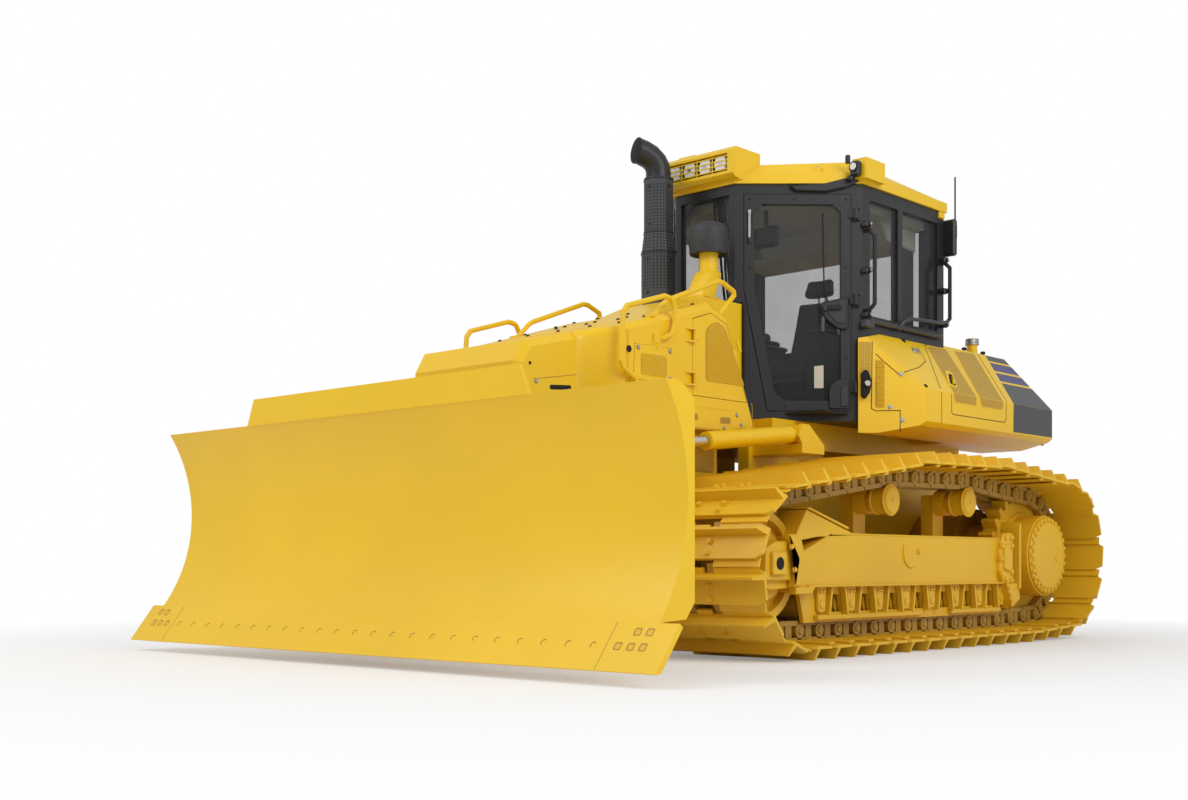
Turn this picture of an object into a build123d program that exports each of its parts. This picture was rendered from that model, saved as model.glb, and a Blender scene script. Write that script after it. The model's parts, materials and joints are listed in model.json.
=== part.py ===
"""Crawler dozer with a power-angle-tilt blade, wide low-pressure tracks and a cab.

Millimetres.  +Z is up, -Y is the front (blade) end, +X is the machine's left.
The origin is on the ground under the middle of the whole machine, blade included.
Each sub-part is built by its own function and written to parts/NODE.step.
"""
from build123d import *
from math import atan2, cos, degrees, hypot, pi, radians, sin, tan
import os

# ---------------------------------------------------------------- driving sizes
SEAT = 0.3                     # gap between pieces that seat on one another
PIN_PLAY = 0.4                 # radial play of a pin in its bore
SWING_GAP = 8.0                # gap round a door in its opening

# tracks
TRACK_X = 1125.0               # centre of a track from the machine's centre plane
SHOE_WIDTH = 910.0
LINK_PITCH = 203.2
LINK_COUNT = 45
SHOE_PLATE = 16.0              # thickness of a shoe's plate
GROUSER = 63.0                 # height of the single bar on a shoe
GROUSER_ROOT = 16.0            # half thickness of the bar at the plate
GROUSER_TIP = 7.0              # half thickness of the bar at its tip
LINK_ABOVE_PIN = 64.0          # from pin line out to the shoe plate
LINK_BELOW_PIN = 60.0          # from pin line in to the rail that rollers run on
LINK_X = 88.0                  # centre of a link rail from the track's centre
LINK_WIDTH = 44.0
NOTCH = 26.0                   # half length of the gap in the tread between two links
NOTCH_TOP = 34.0               # from pin line in to the bottom of that gap
PIN_LINE_Z = GROUSER + SHOE_PLATE + LINK_ABOVE_PIN
RAIL_Z = PIN_LINE_Z + LINK_BELOW_PIN
IDLER_Y = -920.0
GROUSER_START_Y = -860.0       # a shoe's bar stands on the ground here
IDLER_R = 317.0                # tread radius of the front idler
AXLE_R = 90.0
SPROCKET_Y = 2337.0
SPROCKET_Z = 595.0
DRUM_R = 290.0                 # final drive drum
SPROCKET_TEETH = 27            # every second tooth meets a pin on each turn
CARRIER_Y = (430.0, 1430.0)
CARRIER_Z = (938.0, 955.0)
CARRIER_R = 88.0
CARRIER_NECK_R = 58.0          # waist between the two treads of a carrier roller
CARRIER_GAP = 80.0             # width of each of those treads
ROLLER_R = 96.0
ROLLER_COUNT = 8
ROLLER_FIRST_Y = -420.0
ROLLER_LAST_Y = 1800.0

# frames under the machine
FRAME_HALF = 430.0             # half width of the main frame
FRAME_Z = (430.0, 1080.0)
FRAME_Y = (-1350.0, 2620.0)
DECK_Z = 1300.0                # underside of the platform
DECK_TOP = 1480.0
TRACK_FRAME_HALF = 200.0
TRACK_FRAME_Z = (350.0, 710.0)
TRACK_FRAME_Y = (-690.0, 1866.0)
EQUALIZER_Y = (330.0, 440.0)   # cross bar between main frame and track frames
EQUALIZER_Z = (500.0, 610.0)
PIVOT_SHAFT = (1400.0, 560.0)  # (y, z) of the shafts that the track frames swing on

ENGINE_LOW_Z = 640.0
ENGINE_TOP_Z = 1750.0

# blade linkage
LIFT_PIVOT_Y = -200.0
LIFT_PIVOT_Z = 500.0
LIFT_PIN_R = 60.0
ARM_X = 555.0                  # centre of a push arm
ARM_HALF = 55.0
YOKE_Y = -2190.0               # vertical pin behind the blade
YOKE_Z = 560.0
BLADE_HALF = 2020.0
BLADE_TOP_Z = 1340.0
BLADE_SHELL = 22.0
END_BIT_HALF = 2136.0

# hood and cab
HOOD_WALL = 22.0
NOSE_HALF = 450.0
SHOULDER_HALF = 625.0
CAB_FLOOR_Z = DECK_TOP + SEAT
CAB_TOP_Z = 3050.0
CAB_WALL = 55.0
CAB_FRONT_Y = 120.0
CAB_FRONT_HALF = 250.0
CAB_SIDE_X = 870.0
CAB_CORNER_Y = 700.0           # where the angled door panel meets the side wall
CAB_REAR_Y = 1770.0
BODY_HALF = 1180.0
BODY_REAR_Y = 2855.0


# ---------------------------------------------------------------- small helpers
def box(x, y, z):
    """Box between two limits on each axis."""
    size = [high - low for low, high in (x, y, z)]
    middle = [(high + low) / 2 for low, high in (x, y, z)]
    return Pos(*middle) * Box(*size)


def prism_x(outline, x):
    """(y, z) outline pushed along X between two limits."""
    face = Plane.YZ * make_face(Polyline(*outline, close=True))
    return Pos(x[0], 0, 0) * extrude(face, amount=x[1] - x[0], dir=(1, 0, 0))


def prism_y(outline, y):
    """(x, z) outline pushed along Y between two limits."""
    face = Plane((0, 0, 0), x_dir=(1, 0, 0), z_dir=(0, -1, 0)) * make_face(Polyline(*outline, close=True))
    return Pos(0, y[0], 0) * extrude(face, amount=y[1] - y[0], dir=(0, 1, 0))


def prism_z(outline, z):
    """(x, y) outline pushed along Z between two limits."""
    face = make_face(Polyline(*outline, close=True))
    return Pos(0, 0, z[0]) * extrude(face, amount=z[1] - z[0], dir=(0, 0, 1))


def bar(start, end, radius):
    """Round bar between two points."""
    start, end = Vector(*start), Vector(*end)
    along = end - start
    return Plane(origin=start, z_dir=along) * Cylinder(
        radius, along.length, align=(Align.CENTER, Align.CENTER, Align.MIN))


def rod(start, end, radius, sides=16):
    """Straight pin or shaft with narrow flats for its round."""
    start, end = Vector(*start), Vector(*end)
    along = end - start
    face = Plane(origin=start, z_dir=along) * RegularPolygon(radius, sides)
    return extrude(face, amount=along.length, dir=along)


def eased(points, bend):
    """Route with each inner corner cut off at a distance, as a bent tube runs."""
    route = [Vector(*points[0])]
    for before, corner, after in zip(points, points[1:], points[2:]):
        corner = Vector(*corner)
        for other in (before, after):
            route.append(corner + (Vector(*other) - corner).normalized() * bend)
    return [*route, Vector(*points[-1])]


def tube(points, radius, bend, sides=8):
    """Tube along a route with mitred turns and flats for its round."""
    route = Polyline(*eased(points, bend))
    outline = Plane(origin=route @ 0, z_dir=route % 0) * RegularPolygon(radius, sides)
    return sweep(outline, path=route, transition=Transition.RIGHT)


def strip(start, end, half, z):
    """Flat bar between two plan points, over a height range."""
    along = Vector(end[0] - start[0], end[1] - start[1])
    side = Vector(-along.Y, along.X).normalized() * half
    return prism_z(((start[0] + side.X, start[1] + side.Y), (end[0] + side.X, end[1] + side.Y),
                    (end[0] - side.X, end[1] - side.Y), (start[0] - side.X, start[1] - side.Y)), z)


HINGE_R = 15.0
HINGE_HALF = 32.0
LUG = 10.0                     # thickness of a hinge's fixed lugs
LEAF = 6.0                     # half thickness of a hinge's leaf


def hinge_lugs(point, z, anchor):
    """Fixed half of a hinge: one lug above and one below the knuckle."""
    lugs = None
    for low in (z - HINGE_HALF - SEAT - LUG, z + HINGE_HALF + SEAT):
        lug = strip(point, anchor, HINGE_R, (low, low + LUG))
        lugs = lug if lugs is None else lugs + lug
    return lugs


def hinge_knuckle(point, z, anchor):
    """Moving half of a hinge: a round knuckle and its leaf."""
    return Pos(*point, z) * Cylinder(HINGE_R, 2 * HINGE_HALF) + strip(point, anchor, LEAF, (z - 28, z + 28))


def mirrored(shape):
    return mirror(shape, about=Plane.YZ)


def pair(shape):
    """The shape and its mirror image across the centre plane."""
    return Compound(children=[*shape.solids(), *mirrored(shape).solids()])


def group(*shapes):
    """Solids that stay apart in one sub-part."""
    return Compound(children=[solid for shape in shapes for solid in shape.solids()])


# ---------------------------------------------------------------- track chain
IDLER_Z = RAIL_Z + IDLER_R
SPROCKET_PIN_R = LINK_PITCH / (2 * sin(2 * pi / SPROCKET_TEETH))
SPROCKET_PATH_R = SPROCKET_PIN_R * cos(2 * pi / SPROCKET_TEETH)
CHAIN_CIRCLES = (              # (y, z, radius of the pin line round it)
    (IDLER_Y, IDLER_Z, IDLER_R + LINK_BELOW_PIN),
    (ROLLER_LAST_Y, RAIL_Z + ROLLER_R, ROLLER_R + LINK_BELOW_PIN),
    (SPROCKET_Y, SPROCKET_Z, SPROCKET_PATH_R),
    (CARRIER_Y[1], CARRIER_Z[1], CARRIER_R + LINK_BELOW_PIN),
    (CARRIER_Y[0], CARRIER_Z[0], CARRIER_R + LINK_BELOW_PIN),
)


def chain_path():
    """Pieces of the pin line, run forward on the ground and back over the top.

    Each piece is ("line", start, end) or ("arc", centre, radius, from_angle, to_angle).
    """
    pieces = []
    count = len(CHAIN_CIRCLES)
    touch = []
    for index, (y1, z1, r1) in enumerate(CHAIN_CIRCLES):
        y2, z2, r2 = CHAIN_CIRCLES[(index + 1) % count]
        angle = atan2(z2 - z1, y2 - y1)
        normal = angle - pi / 2 + atan2(r1 - r2, hypot(y2 - y1, z2 - z1))
        touch.append(normal)
    for index, (y1, z1, r1) in enumerate(CHAIN_CIRCLES):
        y2, z2, r2 = CHAIN_CIRCLES[(index + 1) % count]
        came, leaves = touch[index - 1], touch[index]
        while leaves < came:
            leaves += 2 * pi
        pieces.append(("arc", (y1, z1), r1, came, leaves))
        start = (y1 + r1 * cos(touch[index]), z1 + r1 * sin(touch[index]))
        end = (y2 + r2 * cos(touch[index]), z2 + r2 * sin(touch[index]))
        pieces.append(("line", start, end))
    return pieces


def chain_stations():
    """Middle point and heading of each link, evenly spaced round the loop."""
    pieces = chain_path()
    lengths = [hypot(p[2][0] - p[1][0], p[2][1] - p[1][1]) if p[0] == "line"
               else p[2] * (p[4] - p[3]) for p in pieces]
    total = sum(lengths)
    step = total / LINK_COUNT
    first = lengths[0] + GROUSER_START_Y - IDLER_Y
    stations = []
    for number in range(LINK_COUNT):
        s = (first + number * step) % total
        index = 0
        while s > lengths[index]:
            s -= lengths[index]
            index += 1
        piece = pieces[index]
        if piece[0] == "line":
            (ya, za), (yb, zb) = piece[1], piece[2]
            share = s / lengths[index]
            stations.append((ya + (yb - ya) * share, za + (zb - za) * share, atan2(zb - za, yb - ya)))
        else:
            angle = piece[3] + s / piece[2]
            stations.append((piece[1][0] + piece[2] * cos(angle),
                             piece[1][1] + piece[2] * sin(angle), angle + pi / 2))
    return stations, step


def offset_point(station, along, out):
    """Point beside a link: along its heading, and out from the loop."""
    y, z, heading = station
    return (y + along * cos(heading) + out * sin(heading),
            z + along * sin(heading) - out * cos(heading))


def corner_point(before, after, out):
    """Where two neighbouring links' lines meet, both moved out by the same amount."""
    turn = (after[2] - before[2] + pi) % (2 * pi) - pi
    ya, za = offset_point(before, 0, out)
    yb, zb = offset_point(after, 0, out)
    if abs(turn) < 1e-6:
        return ((ya + yb) / 2, (za + zb) / 2)
    reach = ((yb - ya) * sin(after[2]) - (zb - za) * cos(after[2])) / sin(turn)
    return (ya + reach * cos(before[2]), za + reach * sin(before[2]))


def track():
    """One closed track: shoes with their bars, on two link rails."""
    stations, step = chain_stations()
    plate_in = LINK_ABOVE_PIN
    plate_out = LINK_ABOVE_PIN + SHOE_PLATE
    half = step / 2
    shoe_points = (                # (along, out) for one shoe, heel to toe
        (-half + 1, plate_out - 9),
        (-half + 22, plate_out),
        (-GROUSER_ROOT, plate_out),
        (-GROUSER_TIP, plate_out + GROUSER),
        (GROUSER_TIP, plate_out + GROUSER),
        (GROUSER_ROOT, plate_out),
        (half, plate_out),
    )
    outer = [offset_point(s, along, out) for s in stations for along, out in shoe_points]

    def loop(out):
        return [corner_point(stations[i - 1], stations[i], out) for i in range(LINK_COUNT)]

    x0 = TRACK_X - SHOE_WIDTH / 2
    shoes = prism_x(outer, (x0, x0 + SHOE_WIDTH)) - prism_x(loop(plate_in), (x0 - 1, x0 + SHOE_WIDTH + 1))
    notch = ((NOTCH - half, -LINK_BELOW_PIN), (half - NOTCH, -LINK_BELOW_PIN), (half, -NOTCH_TOP))
    tread = [offset_point(s, along, out) for s in stations for along, out in notch]
    for side in (-1, 1):
        middle = TRACK_X + side * LINK_X
        width = (middle - LINK_WIDTH / 2, middle + LINK_WIDTH / 2)
        rail = prism_x(loop(plate_in), width)
        rail -= prism_x(tread, (width[0] - 1, width[1] + 1))
        shoes += rail
    return shoes


# ---------------------------------------------------------------- undercarriage
def idler():
    """Front idler: rim, recessed web and centre flange between the link rails."""
    tread = IDLER_R - SEAT
    half = LINK_X + LINK_WIDTH / 2
    flange = LINK_X - LINK_WIDTH / 2 - 6
    web = half - 45
    ring = bar((-half, 0, 0), (half, 0, 0), tread) + bar((-flange, 0, 0), (flange, 0, 0), tread + 26)
    for side in (-1, 1):
        ring -= rod((side * web, 0, 0), (side * (half + 1), 0, 0), tread - 45, 30)
    ring -= rod((-half, 0, 0), (half, 0, 0), AXLE_R, 24)
    return Pos(TRACK_X, IDLER_Y, IDLER_Z) * ring


def idler_axle():
    """Axle and the sliding yoke blocks that carry the idler."""
    half = LINK_X + LINK_WIDTH / 2
    ends = ((TRACK_X - half - 60, IDLER_Y, IDLER_Z), (TRACK_X + half + 60, IDLER_Y, IDLER_Z))
    axle = rod(*ends, AXLE_R - PIN_PLAY, 24)
    for side in (-1, 1):
        limits = sorted((TRACK_X + side * (half + 12), TRACK_X + side * (half + 78)))
        axle += prism_x(((IDLER_Y - 110, IDLER_Z - 95), (IDLER_Y - 110, IDLER_Z + 60),
                         (IDLER_Y - 40, IDLER_Z + 110), (TRACK_FRAME_Y[0] - SEAT, IDLER_Z + 110),
                         (TRACK_FRAME_Y[0] - SEAT, IDLER_Z - 120), (IDLER_Y - 40, IDLER_Z - 130)), limits)
    return axle


def sprocket():
    """Toothed ring, hub and the large final drive drum."""
    root = SPROCKET_PIN_R - 34
    tip = SPROCKET_PIN_R + 22
    points = []
    for tooth in range(SPROCKET_TEETH):
        middle = 2 * pi * tooth / SPROCKET_TEETH
        for share, radius in ((-0.36, root), (-0.12, tip), (0.12, tip), (0.36, root)):
            angle = middle + share * 2 * pi / SPROCKET_TEETH
            points.append((radius * cos(angle), radius * sin(angle)))
    half = LINK_X - LINK_WIDTH / 2 - 12
    ring = prism_x(points, (-half, half))
    drum_out = 275.0
    inner_end = FRAME_HALF + SEAT - TRACK_X
    ring += rod((-half - 70, 0, 0), (drum_out - 30, 0, 0), DRUM_R, 28)
    ring += rod((drum_out - 31, 0, 0), (drum_out, 0, 0), DRUM_R - 50, 28)
    ring += rod((inner_end, 0, 0), (-half - 69, 0, 0), DRUM_R - 60, 28)
    return Pos(TRACK_X, SPROCKET_Y, SPROCKET_Z) * ring


def rollers():
    """Track rollers under the track frame and carrier rollers above it, one side."""
    half = LINK_X + LINK_WIDTH / 2
    made = []
    spacing = (ROLLER_LAST_Y - ROLLER_FIRST_Y) / (ROLLER_COUNT - 1)
    z = RAIL_Z + ROLLER_R
    for number in range(ROLLER_COUNT):
        y = ROLLER_FIRST_Y + number * spacing
        made.append(rod((TRACK_X - half, y, z), (TRACK_X + half, y, z), ROLLER_R - SEAT, 20))
    for y, z in zip(CARRIER_Y, CARRIER_Z):
        middle = rod((TRACK_X - half, y, z), (TRACK_X + half + 25, y, z), CARRIER_NECK_R, 20)
        for x in ((-half, CARRIER_GAP - half), (half - CARRIER_GAP, half + 25)):
            middle += rod((TRACK_X + x[0], y, z), (TRACK_X + x[1], y, z), CARRIER_R - SEAT, 24)
        made.append(middle)
    return group(*made)


def track_frame():
    """Box frame inside a track with roller guards, carrier posts and cross shaft sockets."""
    x = (TRACK_X - TRACK_FRAME_HALF, TRACK_X + TRACK_FRAME_HALF)
    y0, y1 = TRACK_FRAME_Y
    z0, z1 = TRACK_FRAME_Z
    top_z = RAIL_Z + 2 * ROLLER_R + 8
    frame = prism_x(((y0, top_z), (y0, z1 - 120), (y0 + 330, z1), (y1 - 60, z1), (y1, z1 - 60),
                     (y1, top_z)), x)
    wheel_half = LINK_X + LINK_WIDTH / 2 + 8
    frame -= bar((TRACK_X - wheel_half, IDLER_Y, IDLER_Z), (TRACK_X + wheel_half, IDLER_Y, IDLER_Z), IDLER_R + 40)
    guard_half = LINK_X + LINK_WIDTH / 2 + 14
    spacing = (ROLLER_LAST_Y - ROLLER_FIRST_Y) / (ROLLER_COUNT - 1)
    for side in (-1, 1):
        inner = TRACK_X + side * guard_half
        outer = TRACK_X + side * (guard_half + 26)
        limits = (min(inner, outer), max(inner, outer))
        guard = prism_x(((y0 + 120, RAIL_Z - 12), (y0 + 60, top_z + 1), (y1 - 20, top_z + 1),
                         (y1 - 60, RAIL_Z - 12)), limits)
        for number in range(ROLLER_COUNT - 1):
            y = ROLLER_FIRST_Y + (number + 0.5) * spacing
            guard -= prism_x(((y - 95, RAIL_Z + 45), (y - 65, RAIL_Z + 150), (y + 65, RAIL_Z + 150),
                              (y + 95, RAIL_Z + 45)), (limits[0] - 1, limits[1] + 1))
        frame += guard
        for number in range(ROLLER_COUNT):
            y = ROLLER_FIRST_Y + number * spacing
            edge = TRACK_X + side * (LINK_X + LINK_WIDTH / 2 + SEAT)
            pad = (min(edge, outer), max(edge, outer))
            frame += box(pad, (y - 42, y + 42), (RAIL_Z + ROLLER_R - 45, top_z + 1))
    for y, z in zip(CARRIER_Y, CARRIER_Z):
        inner_x = TRACK_X - LINK_X - LINK_WIDTH / 2
        frame += box((inner_x - 90, inner_x - SEAT), (y - 70, y + 70), (z1 - 1, z + 55))
    frame += box((FRAME_HALF + SEAT, x[0] + 1), EQUALIZER_Y, EQUALIZER_Z)
    frame += bar((FRAME_HALF + SEAT, PIVOT_SHAFT[0], PIVOT_SHAFT[1]), (x[0] + 1, *PIVOT_SHAFT), 85)
    return frame


# ---------------------------------------------------------------- main frame
def main_frame():
    """Main case, platform, blade arm sockets and lift cylinder brackets."""
    y0, y1 = FRAME_Y
    z0, z1 = FRAME_Z
    frame = prism_x(((y0, z0 + 190), (y0 + 220, z0), (y1 - 160, z0), (y1, z0 + 160), (y1, 1180),
                     (1500, 1180), (1400, z1), (y0, z1)), (-FRAME_HALF, FRAME_HALF))
    frame -= box((-FRAME_HALF + 40, FRAME_HALF - 40), (y0 - 1, 1100), (z0 + 60, z1 + 1))
    frame += box((-560, 560), (CAB_FRONT_Y - 5, 2560), (DECK_Z, DECK_TOP))
    for y in (-1050, -300):
        frame += box((-FRAME_HALF + 39, FRAME_HALF - 39), (y - 60, y + 60), (z0 + 59, ENGINE_LOW_Z - SEAT))
    frame += box((-380, 380), (1450, 2560), (1179, DECK_Z + 1))
    for side in (-1, 1):
        post = sorted((side * 340, side * 425))
        frame += box(post, (40, 900), (z1 - 1, DECK_Z + 1))
        frame += rod((side * (FRAME_HALF - 1), LIFT_PIVOT_Y, LIFT_PIVOT_Z),
                     (side * (ARM_X + ARM_HALF), LIFT_PIVOT_Y, LIFT_PIVOT_Z), LIFT_PIN_R, 24)
    return frame


LIFT_X = 750.0
LIFT_EYE = (105.0, 1363.0)         # rear eye (y, z)
LIFT_ROD_EYE = (-1710.0, 1160.0)   # rod eye at rest (y, z)
LIFT_BARREL = 930.0
LIFT_BARREL_R = 55.0
LIFT_ROD_R = 34.0
EYE_HALF = 36.0
PIN_R = 26.0


def lift_bracket():
    """Triangular bracket and pin behind each lift cylinder, one side."""
    y, z = LIFT_EYE
    made = None
    for edge in (LIFT_X - EYE_HALF - 3 - 24, LIFT_X + EYE_HALF + 3):
        ear = prism_x(((y - 55, z - 20), (y - 20, z + 60), (y + 60, z + 60), (y + 230, DECK_Z - 2),
                       (y - 20, DECK_Z - 2)), (edge, edge + 24))
        made = ear if made is None else made + ear
    made += rod((LIFT_X - EYE_HALF - 20, y, z), (LIFT_X + EYE_HALF + 20, y, z), PIN_R)
    made += box((380, LIFT_X + EYE_HALF + 27), (y - 20, y + 230), (DECK_Z - 60, DECK_Z))
    return made


DRAWBAR_R = 27.5
DRAWBAR_REACH = 190.0              # from the plate on the main frame to the pin's bore


def drawbar():
    """Rear drawbar bracket with its pin bore."""
    y = FRAME_Y[1] + SEAT
    made = box((-190, 190), (y, y + 50), (520, 900))
    made += prism_x(((y + 49, 560), (y + 49, 760), (y + 100, 720), (y + 255, 720), (y + 255, 600),
                     (y + 100, 600)), (-130, 130))
    made -= box((-131, 131), (y + 110, y + 256), (635, 685))
    made -= Pos(0, y + DRAWBAR_REACH, 660) * Cylinder(DRAWBAR_R, 400)
    return made


def engine_block():
    """Engine as one plain block on the main frame."""
    return box((-270, 270), (-1200, -150), (ENGINE_LOW_Z, ENGINE_TOP_Z))


# ---------------------------------------------------------------- hood
HOOD_FRONT_Y = -2070.0
HOOD_LOW_Z = 1345.0                # lower edge of the side panels
NOSE_LOW_Z = (1455.0, 1200.0)      # underside of the nose at its front and rear
NOSE_BEVEL = 45.0
SHOULDER_Y = -1400.0               # where the nose widens to the shoulders
SHOULDER_BEVEL = 40.0
CREST_Z = 1897.0                   # top of the hood at that place
HOOD_TOP = ((-600.0, 2129.0), (-330.0, 2240.0))     # (y, z) where the top rises behind the nose
FLANK = ((-431.0, 2075.0), (-110.0, 1345.0))        # (y, z) of the slanted rear edge of a shoulder
HOOD_CORE_HALF = 330.0


def hood_block(wall):
    """Hood body, drawn in by a wall thickness all round and open below."""
    front = HOOD_FRONT_Y + wall
    rear = CAB_FRONT_Y - 12 - wall
    low = HOOD_LOW_Z - wall
    crest = (SHOULDER_Y, CREST_Z - wall)
    rise = (HOOD_TOP[0][0], HOOD_TOP[0][1] - wall)
    nose = prism_x(((front, NOSE_LOW_Z[0] - wall), (front, 1640), (front + 70, 1760 - wall), crest,
                    (crest[0] + 120, crest[1]), (FRAME_Y[0] + 100, NOSE_LOW_Z[1] - wall),
                    (FRAME_Y[0], NOSE_LOW_Z[1] - wall)), (-NOSE_HALF + wall, NOSE_HALF - wall))
    nose = bevelled(nose, NOSE_HALF - wall, NOSE_BEVEL - wall / 2)
    head, foot = FLANK
    shoulder = prism_x(((SHOULDER_Y + wall, low), (SHOULDER_Y + wall, crest[1]), rise,
                        (head[0] - 1.4 * wall, head[1] - wall), (foot[0] - 1.1 * wall, low)),
                       (-SHOULDER_HALF + wall, SHOULDER_HALF - wall))
    shoulder = bevelled(shoulder, SHOULDER_HALF - wall, SHOULDER_BEVEL - wall / 2)
    core_half = HOOD_CORE_HALF - wall
    core = prism_x(((HOOD_TOP[0][0] - 60, low), (HOOD_TOP[0][0] - 60, rise[1] - 18), rise,
                    (HOOD_TOP[1][0], HOOD_TOP[1][1] - wall), (rear, HOOD_TOP[1][1] - wall), (rear, low)),
                   (-core_half, core_half))
    return nose + shoulder + core


def bevelled(block, half, size):
    """The block with its upper, front and rear side edges taken off."""
    sharp = [edge for edge in block.edges()
             if abs(abs(edge.center().X) - half) < 0.01 and edge.center().Z > HOOD_LOW_Z + 30]
    return chamfer(sharp, size)


ENGINE_DOOR_Y = -786.0             # front edge of the side door
ENGINE_DOOR_Z = (1541.0, 2004.0)   # lower edge, and upper edge at the front
ENGINE_HINGE = (SHOULDER_HALF + HINGE_R + 6, ENGINE_DOOR_Y + 2)
ENGINE_HINGE_Z = (1640.0, 1900.0)


def engine_door_outline(gap):
    """(y, z) outline of the side door, shrunk by a gap."""
    head, foot = FLANK
    lean = (foot[0] - head[0]) / (foot[1] - head[1])
    z0 = ENGINE_DOOR_Z[0] + gap
    z1 = ENGINE_DOOR_Z[1] - gap
    y0 = ENGINE_DOOR_Y + gap
    behind = head[0] - 20 - gap
    crown = (head[0] - 180, z1 + 55)
    return ((y0, z0), (y0, z1), crown, (behind, z1 + 5), (behind + (z0 - z1 - 5) * lean, z0))


def hood():
    """Sloping engine hood: nose, shoulders, and the skirts that stand on the main frame."""
    shell = hood_block(0) - hood_block(HOOD_WALL)
    opening = prism_x(engine_door_outline(0), (NOSE_HALF, SHOULDER_HALF + 50))
    shell = shell - opening - mirrored(opening)
    skirt = (FRAME_HALF - 25, FRAME_HALF)
    side = box(skirt, (FRAME_Y[0], -300), (FRAME_Z[1] + SEAT, HOOD_LOW_Z + 40))
    side += box((skirt[0], SHOULDER_HALF - 1), (SHOULDER_Y + 130, -300), (HOOD_LOW_Z, HOOD_LOW_Z + 25))
    side += box(skirt, (FRAME_Y[0], FRAME_Y[0] + 100), (FRAME_Z[1] + SEAT, NOSE_LOW_Z[1] + 20))
    for z in ENGINE_HINGE_Z:
        side += hinge_lugs(ENGINE_HINGE, z, (SHOULDER_HALF - 10, ENGINE_DOOR_Y - 60))
    shell = shell + side + mirrored(side)
    stand = (FRAME_Z[1] + SEAT, NOSE_LOW_Z[1] + 20)
    front = box((-FRAME_HALF, FRAME_HALF), (FRAME_Y[0], FRAME_Y[0] + 25), stand)
    panel = prism_x(((HOOD_FRONT_Y + 1, NOSE_LOW_Z[0]), (FRAME_Y[0] + 2, NOSE_LOW_Z[1]),
                     (FRAME_Y[0] + 2, NOSE_LOW_Z[1] + 25), (HOOD_FRONT_Y + 1, NOSE_LOW_Z[0] + 25)),
                    (-NOSE_HALF + 1, NOSE_HALF - 1))
    return shell + front + panel


def engine_door():
    """Side door of the engine bay, hinged on its front edge, left side."""
    door = prism_x(engine_door_outline(SWING_GAP / 2), (SHOULDER_HALF - HOOD_WALL, SHOULDER_HALF))
    for z in ENGINE_HINGE_Z:
        door += hinge_knuckle(ENGINE_HINGE, z, (SHOULDER_HALF - 8, ENGINE_DOOR_Y + 50))
    return door


RAIL_R = 16.0
RAIL_X = 655.0
REAR_RAIL_X = 570.0


def hood_rails():
    """Tubular grab rails on one shoulder: the front hoop on its side and the long rear hoop on its top."""
    inside = SHOULDER_HALF - 20
    front = ((inside, -1322, 1580), (RAIL_X, -1322, 1580), (RAIL_X, -1466, 1650), (RAIL_X, -1460, 1790),
             (RAIL_X, -1439, 1985), (RAIL_X, -1056, 2100), (RAIL_X, -985, 2060), (RAIL_X, -990, 1900),
             (RAIL_X, -1060, 1850), (inside, -1120, 1842))
    rear = ((REAR_RAIL_X, -1112, 1955), (REAR_RAIL_X, -971, 2089), (REAR_RAIL_X, -447, 2285),
            (REAR_RAIL_X, -290, 2228), (REAR_RAIL_X, -440, 2085), (REAR_RAIL_X, -470, 2055))
    seat_face = hood_block(-SEAT)
    return group(tube(front, RAIL_R, 30) - seat_face, tube(rear, RAIL_R, 24) - seat_face)


EXHAUST = (-190.0, -138.0)         # (x, y) of the stack
SHIELD_HALF = 95.0                 # across the flats of the eight-sided shield
SHIELD_LOW_HALF = 112.0
SHIELD_TOP_Z = 3110.0
SHIELD_STEP_Z = (2610.0, 2750.0)   # where the wide lower shield tapers in
PIPE_R = 86.0


def exhaust():
    """Exhaust stack: eight-sided shield, wider below, and the curved outlet with its open end."""
    x, y = EXHAUST
    base = HOOD_TOP[1][1] + SEAT

    def ring(z, half):
        return Pos(x, y, z) * RegularPolygon(half, 8, major_radius=False)

    made = extrude(ring(base, SHIELD_LOW_HALF), amount=SHIELD_STEP_Z[0] - base)
    made += loft([ring(SHIELD_STEP_Z[0] - 1, SHIELD_LOW_HALF), ring(SHIELD_STEP_Z[1], SHIELD_HALF)], ruled=True)
    made += extrude(ring(SHIELD_STEP_Z[1] - 1, SHIELD_HALF), amount=SHIELD_TOP_Z - SHIELD_STEP_Z[1])
    route = Polyline((x, y, SHIELD_TOP_Z - 60), (x, y, 3170), (x - 8, y - 30, 3245), (x - 32, y - 120, 3330))
    outline = Plane(origin=route @ 0, z_dir=(0, 0, 1)) * RegularPolygon(PIPE_R, 20)
    made += sweep(outline, path=route, transition=Transition.RIGHT)
    mouth = Plane(origin=(x - 32, y - 121, 3331), z_dir=(0.24, 0.9, -0.8))
    return made - extrude(mouth * RegularPolygon(PIPE_R - 8, 20), amount=90)


INTAKE = (237.0, -138.0)           # (x, y) of the pre-cleaner
INTAKE_FOOT_Y = -235.0
INTAKE_ELBOW_Z = 2430.0
CAP_RINGS = ((2540.0, 122.0), (2700.0, 129.0), (2756.0, 84.0))     # (z, radius) of the pre-cleaner's cap


def precleaner():
    """Slanted intake duct and the round pre-cleaner on top."""
    x, y = INTAKE
    base = HOOD_TOP[1][1] + SEAT
    made = loft([Pos(x, INTAKE_FOOT_Y, base) * Rectangle(150, 150),
                 Pos(x, y, INTAKE_ELBOW_Z) * Rectangle(118, 118)], ruled=True)
    made += box((x - 59, x + 59), (y - 59, y + 59), (INTAKE_ELBOW_Z - 1, 2560))
    rings = [Pos(x, y, z) * RegularPolygon(radius, 28) for z, radius in CAP_RINGS]
    return made + loft(rings[:2], ruled=True) + loft(rings[1:], ruled=True)


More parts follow.
